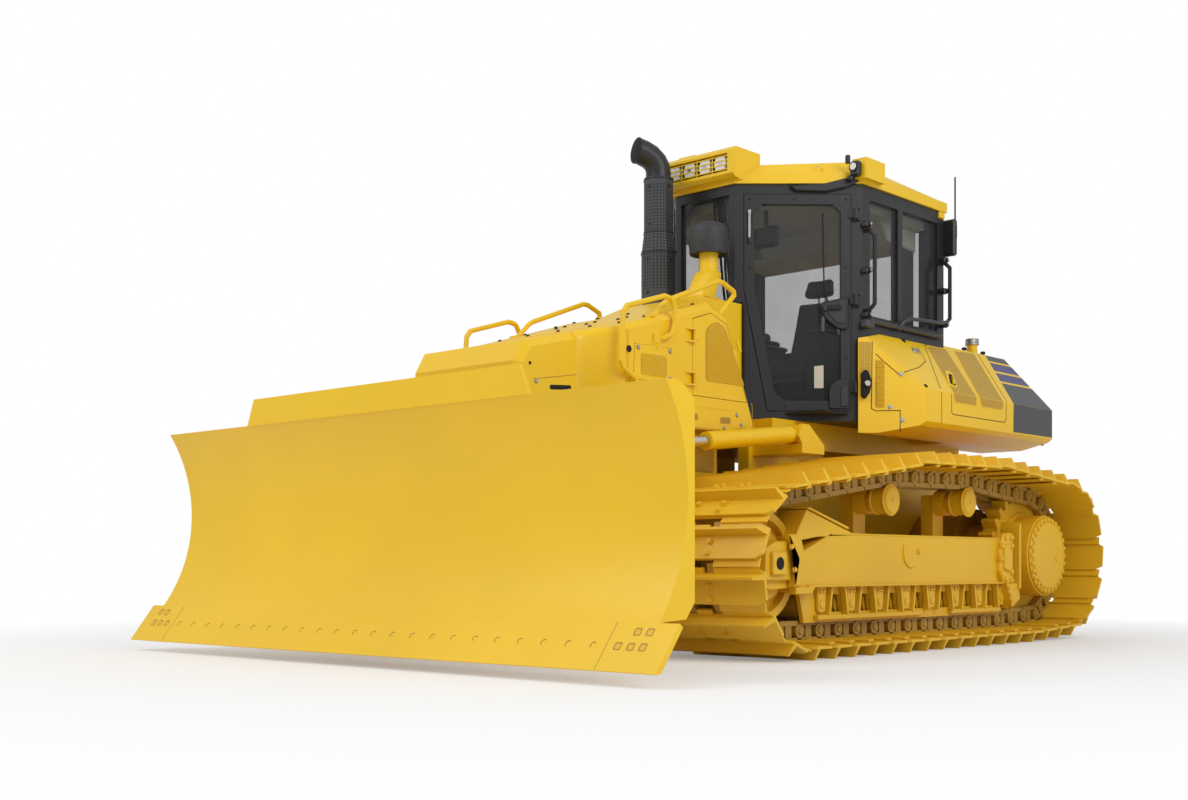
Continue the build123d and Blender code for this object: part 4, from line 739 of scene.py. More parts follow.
edge = {"top": (0, -2.745, 0.275), "lean": (0, 0.6074, 0.7944), "firstBolt": 1.705, "pitch": 0.152, "row": -0.13,
        "bitHoles": ((1.925, -0.05), (1.995, -0.05), (1.85, -0.13), (1.925, -0.13), (1.995, -0.13))}


def makeBladeFittings():
    shape = bmesh.new()
    face = facing(edge["top"], (1, 0, 0), edge["lean"])
    count = int(2 * edge["firstBolt"] / edge["pitch"]) + 1
    for number in range(count):
        place = face @ at(edge["firstBolt"] - number * 2 * edge["firstBolt"] / (count - 1), edge["row"])
        # countersunk bolt: a yellow disc with a darker crescent on its upper side, painted shade in the countersink
        addDisc(shape, place, 0.017, -0.002, 0.0006, 20, 0.0, 0)
        addPlate(shape, [(0.018 * math.cos(a), 0.018 * math.sin(a)) for a in
                         [math.radians(50 + 20 * k) for k in range(10)]]
                 + [(0.0125 * math.cos(a), 0.0125 * math.sin(a)) for a in
                    [math.radians(230 - 20 * k) for k in range(10)]], -0.001, 0.0016, place, 0.0, 0.0, 2)
    for side in (-1, 1):
        # bit holes: a darker square with a lighter one set a little low and off centre inside it, painted shade on the
        # upper side of each hole
        for x, y in edge["bitHoles"]:
            place = face @ at(side * x, y)
            square = [(-0.021, -0.021), (0.021, -0.021), (0.021, 0.021), (-0.021, 0.021)]
            addPlate(shape, square, -0.001, 0.0008, place, 0.009, 0.0, 2)
            addPlate(shape, [(a * 0.7 + 0.002, b * 0.7 - 0.002) for a, b in square], 0.0, 0.0014, place, 0.007, 0.0, 1)
        addSeam(shape, [(side * 1.7805, 0.0), (side * 1.7805, -0.255)], face, 0.003, 0.0008, 2)
    # weld line along the foot of the spill guard, and the tie plates behind it
    addBox(shape, (-1.165, -2.706, 1.336), (1.165, -2.699, 1.342), 0.002, 0)
    for k in range(-4, 5):
        addPlate(shape, [(-2.68, 1.338), (-2.62, 1.338), (-2.676, 1.45)], -0.006, 0.006,
                 facing((k * 0.25, 0, 0), (0, 1, 0), (0, 0, 1)))
    closePiece("bladeFittings", shape, "blade", "yellow_paint", yellow, trackYellow, shadedYellow)


def makeNoseDetails():
    shape = bmesh.new()
    side = facing((0.45, 0, 0), (0, 1, 0), (0, 0, 1))
    # access door low on the nose, its slot and bolts; the slots are near-black, painted shade
    addSeam(shape, [(-1.955, 1.545), (-1.56, 1.61), (-1.515, 1.36), (-1.62, 1.335)], side, paintIndex=3)
    for y, z in ((-1.582, 1.595), (-1.93, 1.535), (-1.54, 1.39)):
        addBolt(shape, side @ at(y, z), 0.012, 1)
    for y, z in ((-1.74, 1.515), (-1.74, 1.45)):
        slot = [(y - 0.085, z - 0.016), (y + 0.085, z - 0.004), (y + 0.085, z + 0.022), (y - 0.085, z + 0.01)]
        addPlate(shape, slot, -0.001, 0.001, side, 0.01, 0.0, 2)
        addRing(shape, [(a + math.copysign(0.008, a - y), b + math.copysign(0.006, b - z)) for a, b in slot],
                0.008, -0.001, 0.005, side, 0.012)
    # small hole, a near-black disc as painted shade
    addDisc(shape, side @ at(-1.98, 1.63), 0.009, -0.001, 0.003, 12, 0.0, 2)
    closePiece("noseDetails", shape, "chassis", "yellow_paint", yellow, zinc, dark, shadedYellow, mirrorTo="Right")


def makeShoulderDetails():
    shape = bmesh.new()
    side = facing((0.625, 0, 0), (0, 1, 0), (0, 0, 1))
    # small vented panel behind the front hoop; behind its louvres the darker punched sheet, painted shade
    panel = [(-1.325, 1.59), (-0.98, 1.6), (-0.982, 1.8), (-1.31, 1.795)]
    addPlate(shape, panel, -0.002, 0.0035, side, 0.012, 0.0015)
    addSeam(shape, panel + panel[:1], side, 0.004, 0.0012, 3)
    vent = [(-1.262, 1.62), (-1.03, 1.625), (-1.03, 1.747), (-1.262, 1.745)]
    addPlate(shape, vent, 0.0, 0.0045, side, 0.022, 0.0, 4)
    addRing(shape, [(y + math.copysign(0.009, y + 1.15), z + math.copysign(0.009, z - 1.68)) for y, z in vent],
            0.01, 0.003, 0.01, side, 0.028)
    addLouvres(shape, vent, 0.009, 0.0042, 0.003, 0.0065, side, 0.5, 0, 0.006)
    for y, z in ((-1.285, 1.775), (-1.0, 1.78), (-1.0, 1.618)):
        addBolt(shape, side @ at(y, z, 0.0035), 0.012, 1)
    # near-black disc, painted shade in a hole
    addDisc(shape, side @ at(-1.359, 1.758), 0.02, -0.001, 0.001, 20, 0.0, 2)
    # lower panel with two pressed pockets, their floors in the darker yellow as painted shade
    lower = [(-0.888, 1.476), (-0.353, 1.478), (-0.268, 1.385), (-0.46, 1.352), (-0.888, 1.352)]
    addPlate(shape, lower, -0.002, 0.003, side, 0.01, 0.0012)
    addSeam(shape, lower + lower[:1], side, 0.004, 0.0012, 3)
    for y in (-0.79, -0.47):
        pocket = [(y - 0.052, 1.392), (y + 0.052, 1.396), (y + 0.052, 1.436), (y - 0.052, 1.432)]
        addPlate(shape, pocket, 0.0, 0.004, side, 0.014, 0.0, 3)
        addRing(shape, [(a + math.copysign(0.008, a - y), b + math.copysign(0.008, b - 1.414)) for a, b in pocket],
                0.009, 0.002, 0.008, side, 0.018)
    for y, z in ((-0.845, 1.458), (-0.355, 1.455), (-0.31, 1.4), (-0.86, 1.375), (-0.48, 1.368)):
        addBolt(shape, side @ at(y, z, 0.003), 0.011, 1)
    # latch on the slanted edge, and the panel seams round the door
    addPlate(shape, [(-0.2, 1.79), (-0.172, 1.8), (-0.19, 1.86), (-0.22, 1.855)], 0.0, 0.008,
             facing((0.618, -0.17, 0), (0, 1, 0), (0, 0, 1)), 0.004, 0.002)
    addSeam(shape, [(-1.0, 1.54), (-0.79, 1.541)], side, paintIndex=3)
    addSeam(shape, [(-0.2, 1.541), (-0.19, 1.53), (-0.188, 1.36)], side, paintIndex=3)
    # seats of the rails
    for y, z in ((-1.322, 1.58), (-1.12, 1.842)):
        addDisc(shape, side @ at(y, z), 0.034, -0.002, 0.012, 24, 0.004)
    addBolt(shape, side @ at(-1.122, 1.8), 0.013, 0)
    addPlate(shape, [(-1.15, 1.775), (-1.09, 1.775), (-1.08, 1.83), (-1.16, 1.83)], -0.001, 0.006, side, 0.012, 0.003)
    # mesh behind the lift cylinder, in the darker punched sheet as painted shade
    low = facing((0.432, 0, 0), (0, 1, 0), (0, 0, 1))
    addPlate(shape, [(-1.02, 1.11), (-0.34, 1.11), (-0.34, 1.325), (-1.02, 1.325)], 0.0, 0.004, low, 0.02, 0.0, 4)
    addRing(shape, [(-1.04, 1.09), (-0.32, 1.09), (-0.32, 1.34), (-1.04, 1.34)], 0.022, 0.0, 0.01, low, 0.03)
    closePiece("shoulderDetails", shape, "chassis", "yellow_paint", yellow, zinc, dark, shadedYellow, screen,
               mirrorTo="Right")


def makeEngineDoorGrille():
    shape = bmesh.new()
    side = facing((0.6255, 0, 0), (0, 1, 0), (0, 0, 1))
    vent = [(-0.66, 1.642), (-0.272, 1.642), (-0.47, 1.98), (-0.545, 2.01), (-0.61, 1.99), (-0.66, 1.945)]
    # backing behind the louvres in the darker punched sheet: painted shade
    addPlate(shape, vent, -0.001, 0.0025, side, 0.02, 0.0, 1)
    addRing(shape, vent, 0.009, 0.0, 0.007, side, 0.02)
    addLouvres(shape, vent, 0.009, 0.0042, 0.002, 0.0045, side, 0.5, 0, 0.01)
    addPlate(shape, [(-0.33, 1.85), (-0.305, 1.85), (-0.34, 1.925), (-0.365, 1.915)], 0.0, 0.009, side, 0.005, 0.003)
    closePiece("engineDoorGrille", shape, "engine_door_left", "yellow_paint", yellow, screen, mirrorTo="Right")


def makeHoodTop():
    shape = bmesh.new()
    run = Vector((0, 0.8, 0.232))                         # the crest's slope over the shoulders
    top = facing((0, -1.4, 1.897), (1, 0, 0), run)
    for x0, x1, y0, y1 in ((-0.3, 0.3, 0.08, 0.4), (-0.3, 0.3, 0.42, 0.8)):
        addPlate(shape, [(x0, y0), (x1, y0), (x1, y1), (x0, y1)], -0.001, 0.004, top, 0.02, 0.002)
        for x in (x0 + 0.04, 0.0, x1 - 0.04):
            for y in (y0 + 0.03, y1 - 0.03):
                addBolt(shape, top @ at(x, y, 0.004), 0.011, 1)
    for y in (0.1, 0.33, 0.62, 0.8):
        for side in (-1, 1):
            addBolt(shape, top @ at(side * 0.5, y), 0.011, 1)
    # rear rail seats, and the gasket under the stack
    for side in (-1, 1):
        addDisc(shape, facing((side * 0.57, -1.112, 1.98), (1, 0, 0), run), 0.032, -0.004, 0.01, 20, 0.003)
    addPlate(shape, [(-0.32, -0.275), (-0.06, -0.275), (-0.06, -0.015), (-0.32, -0.015)], 2.2405, 2.256,
             Matrix(), 0.03, 0.004, 1)
    addPlate(shape, [(0.14, -0.33), (0.335, -0.33), (0.335, -0.14), (0.14, -0.14)], 2.2405, 2.25, Matrix(), 0.02,
             0.003)
    # seal between the hood and the cab
    for side in (-1, 1):
        strip = facing((side * 0.34, 0.098, 0), (1, 0, 0), (0, 0, 1))
        addBox(shape, (-0.012, 1.5, -0.004), (0.012, 2.235, 0.008), 0.003, 2, strip)
    addBox(shape, (-0.34, 0.094, 2.232), (0.34, 0.106, 2.256), 0.004, 2)
    closePiece("hoodTopDetails", shape, "chassis", "yellow_paint", yellow, black, rubber)


def makePrecleaner():
    shape = bmesh.new()
    x, y = 0.237, -0.138
    made = bmesh.ops.create_cube(shape, size=1.0, matrix=at(x, y, 2.335) @ Matrix.Diagonal((0.135, 0.135, 0.19, 1)))
    low = [vert for vert in made["verts"] if vert.co.z < 2.3]
    bmesh.ops.translate(shape, vec=(0, -0.097, 0), verts=low)
    bmesh.ops.scale(shape, vec=(1.1, 1.1, 1.0), verts=low, space=at(-x, 0.235, 0))
    bevelEdges(shape, made["verts"], 0.02, 2)
    addDisc(shape, at(x, y), 0.062, 2.41, 2.56, 24, 0.0)
    addDisc(shape, at(x, y), 0.068, 2.42, 2.436, 24, 0.003)
    closePiece("intakeDuct", shape, "chassis", "yellow_paint", yellow, smooth=35.0)
    shape = bmesh.new()
    rim = [(0.0, 2.552), (0.1, 2.546), (0.121, 2.54), (0.126, 2.55), (0.1265, 2.61), (0.128, 2.6105), (0.128, 2.618),
           (0.1265, 2.6185), (0.127, 2.68), (0.12, 2.715), (0.1, 2.736), (0.07, 2.747), (0.0, 2.752)]
    verts = [shape.verts.new((radius, 0, z)) for radius, z in rim]
    lines = [shape.edges.new(two) for two in zip(verts, verts[1:])]
    bmesh.ops.spin(shape, geom=verts + lines, cent=(0, 0, 0), axis=(0, 0, 1), angle=math.tau, steps=48,
                   use_merge=True)
    bmesh.ops.remove_doubles(shape, verts=shape.verts, dist=0.0001)
    for k in range(10):
        turn = Matrix.Rotation(k * math.tau / 10, 4, "Z") @ at(0.1268, 0, 2.6) @ along((1, 0, 0))
        addBox(shape, (-0.004, -0.012, -0.001), (0.004, 0.012, 0.003), 0.0, 0, turn)
    bmesh.ops.translate(shape, vec=(x, y, 0), verts=shape.verts)
    cap = closePiece("precleanerCap", shape, "chassis", "dark_paint", plastic, smooth=40.0)
    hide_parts("precleaner")


def sweepRings(shape, sections, sides=36, paintIndex=0):
    # skin through rings: each is a centre, the way the pipe runs there, and a radius
    loops = []
    for middle, way, radius in sections:
        turn = Matrix.Translation(middle) @ Vector((0, 0, 1)).rotation_difference(Vector(way)).to_matrix().to_4x4()
        loops.append([shape.verts.new(turn @ Vector((radius * math.cos(k * math.tau / sides),
                                                     radius * math.sin(k * math.tau / sides), 0)))
                      for k in range(sides)])
    for low, high in zip(loops, loops[1:]):
        for k in range(sides):
            face = shape.faces.new([low[k - 1], low[k], high[k], high[k - 1]])
            face.material_index = paintIndex
    for loop in (loops[0], loops[-1]):
        shape.faces.new(loop).material_index = paintIndex


def makeExhaust():
    shape = bmesh.new()
    x, y = stackHoles["x"], stackHoles["y"]
    flat = 1.0 / math.cos(math.pi / 8)
    turn = at(x, y) @ Matrix.Rotation(math.pi / 8, 4, "Z")
    addDisc(shape, turn, 0.112 * flat, 2.2405, 2.61, 8)
    addDisc(shape, turn, 0.112 * flat, 2.61, 2.75, 8, tip=0.095 * flat)
    addDisc(shape, turn, 0.095 * flat, 2.75, 3.11, 8)
    body = closePiece("stackShield", shape, "chassis", "dark_paint", stackGuard)
    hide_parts("exhaust")
    shape = bmesh.new()
    for z, radius in ((2.255, 0.118), (2.612, 0.117), (2.745, 0.1), (3.1, 0.099)):
        addDisc(shape, turn, radius * flat, z - 0.005, z + 0.005, 8, 0.002)
    for k in range(0, 8, 2):
        spoke = at(x, y) @ Matrix.Rotation(k * math.tau / 8, 4, "Z")
        for z, reach in ((2.34, 0.1125), (2.56, 0.1125), (2.8, 0.0955), (3.05, 0.0955)):
            addBolt(shape, spoke @ at(reach, 0, z) @ along((1, 0, 0)), 0.008)
    route = [((x, y, 3.09), (0, 0, 1)), ((x, y, 3.15), (0, 0, 1)), ((x - 0.003, y - 0.008, 3.19), (-0.08, -0.28, 1)),
             ((x - 0.013, y - 0.03, 3.226), (-0.2, -0.62, 1)), ((x - 0.028, y - 0.063, 3.254), (-0.35, -1, 0.72)),
             ((x - 0.047, y - 0.106, 3.274), (-0.4, -1, 0.4)), ((x - 0.062, y - 0.142, 3.284), (-0.42, -1, 0.12))]
    sections = [(middle, way, 0.084) for middle, way in route]
    end = Vector(route[-1][1]).normalized()
    mouth = Vector(route[-1][0])
    sections += [(mouth + end * 0.002, end, 0.087), (mouth + end * 0.01, end, 0.087), (mouth + end * 0.01, end, 0.08)]
    sweepRings(shape, sections)
    # near-black ring just inside the mouth: painted shade in the pipe
    sweepRings(shape, [(mouth + end * 0.0104, end, 0.0805), (mouth + end * 0.0112, end, 0.0795)], 36, 1)
    closePiece("stackOutlet", shape, "chassis", "dark_paint", black, dark, smooth=40.0)


def makeHoodBlend():
    # the nose swells into the shoulder in one soft curve on each side
    shape = bmesh.new()
    loops = []
    for k in range(15):
        share = k / 14
        y = -1.62 + 0.236 * share
        out = 0.4505 + 0.173 * share * share * (3 - 2 * share)
        top = 1.8975 + (y + 1.4) * 0.2283 if y < -1.4 else 1.8975 + (y + 1.4) * 0.29
        section = [(0.3, 1.36), (out - 0.01, 1.36), (out, 1.372)]
        section += [(out - 0.05 + 0.05 * math.cos(a), top - 0.05 + 0.05 * math.sin(a))
                    for a in [math.radians(90 * step / 6) for step in range(7)]]
        section += [(0.3, top)]
        loops.append([shape.verts.new((px, y, pz)) for px, pz in section])
    count = len(loops[0])
    for low, high in zip(loops, loops[1:]):
        for k in range(count):
            shape.faces.new([low[k - 1], low[k], high[k], high[k - 1]])
    shape.faces.new(loops[0])
    shape.faces.new(loops[-1])
    closePiece("hoodBlend", shape, "chassis", "yellow_paint", yellow, smooth=38.0, mirrorTo="Right")


makeHoodBlend()
makeBladeFittings()
makeNoseDetails()
makeShoulderDetails()
makeEngineDoorGrille()
makeHoodTop()
makePrecleaner()
makeExhaust()
print("blade and hood dressed")

cab = {"corner": (0.25, 0.12, 0.0), "along": (0.62, 0.58, 0.0), "door": ((0.064, 2.347), (0.064, 2.981), (0.77, 2.981),
       (0.77, 1.549), (0.219, 1.549)), "window": ((0.13, 2.36), (0.13, 2.915), (0.704, 2.915), (0.704, 1.615),
       (0.275, 1.615)), "panes": ((0.79, 1.145), (1.205, 1.68)), "paneHeight": (2.19, 2.96)}


def grown(outline, out):
    # outline moved outward from its middle, corner by corner
    x0 = sum(x for x, y in outline) / len(outline)
    y0 = sum(y for x, y in outline) / len(outline)
    return [(x + math.copysign(out, x - x0), y + math.copysign(out, y - y0)) for x, y in outline]


def makeCabDoorTrim():
    shape = bmesh.new()
    face = facing(cab["corner"], cab["along"], (0, 0, 1))
    window = list(cab["window"])
    addRing(shape, grown(cab["door"], -0.003), 0.05, 0.004, 0.009, face, 0.03, 0)
    addRing(shape, grown(window, 0.014), 0.02, 0.003, 0.011, face, 0.06, 1, 5)
    for number, (x, y) in enumerate(window):
        before, after = window[number - 1], window[(number + 1) % len(window)]
        if number == 0:
            continue
        legs = [(x + (a - x) * 0.055 / math.hypot(a - x, b - y), y + (b - y) * 0.055 / math.hypot(a - x, b - y))
                for a, b in (before, after)]
        addPlate(shape, [(x, y), *legs], -0.012, 0.004, face)
    # covers over the latch and the lower corner
    latch = [(0.565, 2.262), (0.752, 2.3), (0.752, 2.085), (0.685, 2.085), (0.6, 2.15), (0.575, 2.2)]
    addPlate(shape, latch, 0.004, 0.03, face, 0.018, 0.006)
    addPlate(shape, [(0.575, 2.245), (0.735, 2.28), (0.735, 2.12), (0.67, 2.125)], 0.03, 0.036, face, 0.02, 0.003, 2)
    addDisc(shape, face @ at(0.6, 2.222), 0.02, 0.028, 0.045, 20, 0.004, 2)
    addPlate(shape, [(0.605, 2.235), (0.7, 2.245), (0.7, 2.21), (0.605, 2.208)], 0.044, 0.054, face, 0.012, 0.004, 1)
    low = [(0.625, 1.56), (0.625, 1.69), (0.655, 1.735), (0.718, 1.764), (0.76, 1.764), (0.76, 1.56)]
    addPlate(shape, low, 0.004, 0.016, face, 0.012, 0.004)
    addPlate(shape, [(0.7, 1.575), (0.7, 1.68), (0.72, 1.715), (0.75, 1.715), (0.75, 1.575)], 0.016, 0.024, face, 0.01,
             0.003, 2)
    # blank plate on the glass, door stay and lock at the front edge
    addPlate(shape, [(0.53, 1.7), (0.592, 1.7), (0.592, 1.852), (0.53, 1.845)], -0.013, -0.0115, face, 0.004, 0.0, 3)
    for x, y in ((0.1, 2.95), (0.4, 2.95), (0.738, 2.95), (0.738, 2.5), (0.738, 1.9), (0.34, 1.58), (0.1, 2.5)):
        addBolt(shape, face @ at(x, y, 0.008), 0.007, 0)
    closePiece("cabDoorTrim", shape, "cab_door_left", "dark_paint", black, rubber, plastic, lining, mirrorTo="Right")
    shape = bmesh.new()
    addPlate(shape, [(0.09, 2.69), (0.105, 2.69), (0.105, 2.85), (0.09, 2.85)], 0.012, 0.024, face, 0.004, 0.002, 0)
    addDisc(shape, face @ at(0.0975, 2.858, 0.02) @ along((0, 1, 0)), 0.012, -0.012, 0.016, 16, 0.002, 0)
    addDisc(shape, face @ at(0.0975, 2.672, 0.02) @ along((0, 1, 0)), 0.01, -0.012, 0.02, 16, 0.002, 1)
    closePiece("doorStay", shape, "cab_door_left", "chrome_rod", zinc, bronze, mirrorTo="Right")


def makeCabTrim():
    shape = bmesh.new()
    for side in (1, -1):
        wall = facing((0.87 * side, 0, 0), (0, side, 0), (0, 0, 1))
        for y0, y1 in cab["panes"]:
            z0, z1 = cab["paneHeight"]
            edges = [(side * y0 - 0.006 * side, z0 - 0.006), (side * y1 + 0.006 * side, z0 - 0.006),
                     (side * y1 + 0.006 * side, z1 + 0.006), (side * y0 - 0.006 * side, z1 + 0.006)]
            if side < 0:
                edges.reverse()
            addRing(shape, edges, 0.024, -0.002, 0.008, wall, 0.035, 1, 4)
        # clamps up the front and rear posts
        post = side * 0.9
        for y, heights in ((0.705, (2.78, 2.475, 2.182)), (1.725, (2.7, 2.48, 2.24))):
            for z in heights:
                addBox(shape, (post - 0.03, y - 0.026, z - 0.02), (post + 0.02, y + 0.026, z + 0.02), 0.008, 0)
                addDisc(shape, at(side * 0.915, y, z) @ along((side, 0, 0)), 0.017, -0.005, 0.018, 16, 0.003, 1)
                addBolt(shape, at(side * 0.932, y, z) @ along((side, 0, 0)), 0.009, 2)
        addBox(shape, (side * 0.905 - 0.03, 0.662, 2.092), (side * 0.905 + 0.03, 0.755, 2.15), 0.01, 3)
        # box and aerial on the rear corner
        addBox(shape, (side * 0.885 - 0.07, 1.774, 2.74), (side * 0.885 + 0.07, 1.82, 3.0), 0.012, 0)
        for z in (2.8, 2.97):
            for x in (0.835, 0.935):
                addBolt(shape, at(side * x, 1.82, z) @ along((0, 1, 0)), 0.008, 2)
        addDisc(shape, at(side * 0.945, 1.8), 0.006, 2.9, 3.3, 8)
        addDisc(shape, at(side * 0.945, 1.8), 0.015, 2.86, 2.96, 12, 0.003)
        # header over the door, arm to the roof corner, small work lamp
        start, heading = ((0.25, 0.12, 0), (0.62, 0.58, 0)) if side > 0 else ((-0.87, 0.7, 0), (0.62, -0.58, 0))
        arm = facing(start, heading, (0, 0, 1))
        places = [(0.36, 3.035), (0.6, 3.05), (0.76, 3.09), (0.82, 3.1), (0.82, 3.06), (0.74, 3.025), (0.6, 2.995),
                  (0.4, 3.0)]
        if side < 0:
            places = [(0.849 - s, z) for s, z in reversed(places)]
        addPlate(shape, places, 0.0, 0.03, arm, 0.008, 0.006)
        workLamp = side * 0.87
        addBox(shape, (workLamp - 0.035, 0.592, 3.085), (workLamp + 0.035, 0.641, 3.185), 0.012, 0)
        addDisc(shape, at(workLamp, 0.594, 3.145) @ along((0, -1, 0)), 0.034, -0.002, 0.012, 24, 0.004, 1)
        addDisc(shape, at(workLamp, 0.594, 3.145) @ along((0, -1, 0)), 0.025, 0.0, 0.014, 24, 0.003, 4)
        addDisc(shape, at(side * 0.81, 0.615), 0.017, 3.18, 3.235, 16, 0.004, 0)
        addDisc(shape, at(side * 0.84, 0.6), 0.024, 3.06, 3.09, 16, 0.006, 0)
    # frame round the windscreen and its wiper
    wall = facing((0, 0.12, 0), (1, 0, 0), (0, 0, 1))
    addRing(shape, [(-0.215, 2.28), (0.215, 2.28), (0.215, 2.995), (-0.215, 2.995)], 0.024, -0.002, 0.01, wall, 0.035,
            1, 4)
    addDisc(shape, wall @ at(0.0, 2.32, 0.0), 0.02, -0.01, 0.03, 16, 0.004)
    addPlate(shape, [(-0.012, 2.33), (0.012, 2.33), (0.125, 2.66), (0.115, 2.665)], 0.014, 0.022, wall)
    addPlate(shape, [(0.095, 2.45), (0.103, 2.45), (0.138, 2.87), (0.13, 2.87)], 0.004, 0.02, wall, 0.0, 0.0, 1)
    closePiece("cabTrim", shape, "chassis", "dark_paint", black, rubber, zinc, satin, lens)
    for side, word in bothSides:
        makeTube("sillBar" + word, [(side * 0.892, y, 2.15) for y in (0.75, 1.2, 1.7)], 0.017,
                 "chassis", bronze, False)
        makeTube("sideBar" + word, [(side * 0.89, 1.12, 2.13), (side * 0.92, 1.13, 2.205), (side * 0.945, 1.3, 2.22),
                                    (side * 0.945, 1.66, 2.232), (side * 0.945, 1.7, 2.26)], 0.013, "chassis",
                 satin)
        # each point of the wiper: distance along the raked wall, distance out of it, height
        wiper = ((0.585, -0.008, 2.86), (0.592, -0.006, 2.6), (0.592, -0.004, 2.4), (0.615, 0.0, 2.27),
                 (0.63, 0.012, 2.24))
        makeTube("doorWiper" + word, [(side * (0.25 + 0.73 * s + 0.683 * d), 0.12 + 0.683 * s - 0.73 * d, z)
                                      for s, d, z in wiper], 0.005, "cab_door_" + word.lower(), rubber)
    # hoses and cables from the roof down into the dash, behind the windscreen
    for number, x in enumerate((0.06, 0.09, 0.115, 0.14)):
        bow = 0.02 * (number % 2)
        path = [(x - 0.05, 0.215, 3.02), (x - 0.045, 0.2, 2.9), (x + 0.01, 0.19 + bow, 2.72), (x + 0.02, 0.2, 2.52),
                (x + 0.01, 0.24, 2.36), (x, 0.28, 2.24), (x, 0.29, 2.16)]
        makeTube("screenHose" + str(number + 1), path, 0.009, "chassis", rubber)


def makeLampHousing():
    shape = bmesh.new()
    front = facing((0, 0.021, 0), (1, 0, 0), (0, 0, 1))
    addRing(shape, [(-0.303, 3.098), (0.303, 3.098), (0.303, 3.252), (-0.303, 3.252)], 0.028, -0.004, 0.012, front,
            0.062, 0, 6)
    for z in (3.135, 3.164, 3.193, 3.222):
        addBox(shape, (-0.285, 0.03, z - 0.0035), (0.285, 0.037, z + 0.0035), 0.001)
    for x in (-0.13, 0.0, 0.13):
        addBox(shape, (x - 0.003, 0.034, 3.115), (x + 0.003, 0.042, 3.24), 0.001)
    for side in (-1, 1):
        addPlate(shape, [(side * 0.304, 3.1), (side * 0.262, 3.1), (side * 0.262, 3.25), (side * 0.304, 3.25)][::side],
                 -0.06, -0.004, front, 0.01)
    addBox(shape, (-0.231, 0.11, 3.276), (-0.081, 0.21, 3.31), 0.01)
    addBolt(shape, at(-0.156, 0.16, 3.31), 0.012)
    for side in (-1, 1):
        addBox(shape, (side * 0.62 - 0.04, 0.5, 3.11), (side * 0.62 + 0.04, 0.58, 3.17), 0.01)
        addBolt(shape, at(side * 0.62, 0.54, 3.17), 0.014, 1)
        addBolt(shape, at(side * 0.5, 0.36, 3.12), 0.011, 1)
        addBox(shape, (side * 0.87 - 0.02, 1.69, 3.0), (side * 0.87 + 0.018, 1.76, 3.049), 0.006)
    closePiece("lampHousing", shape, "chassis", "yellow_paint", yellow, zinc)
    shape = bmesh.new()
    # near-black sheet behind the lamps: painted shade inside the housing
    addBox(shape, (-0.264, 0.0735, 3.121), (0.264, 0.0748, 3.234), 0.0, 0)
    for x in (-0.195, -0.065, 0.065, 0.195):
        addRing(shape, [(x - 0.05, 3.128), (x + 0.05, 3.128), (x + 0.05, 3.23), (x - 0.05, 3.23)], 0.009, -0.05, -0.012,
                front, 0.014, 1, 4)
        addPlate(shape, [(x - 0.042, 3.136), (x + 0.042, 3.136), (x + 0.042, 3.222), (x - 0.042, 3.222)], -0.05, -0.015,
                 front, 0.01, 0.002, 2, 4)
        for k in range(-2, 3):
            addBox(shape, (x + k * 0.015 - 0.0015, 0.035, 3.142), (x + k * 0.015 + 0.0015, 0.037, 3.216), 0.0, 2)
        addDisc(shape, at(x, 0.0355, 3.178) @ along((0, -1, 0)), 0.017, 0.0, 0.002, 20, 0.0, 3)
    closePiece("lampInsides", shape, "chassis", "lamp_lens", dark, plastic, lens, zinc)


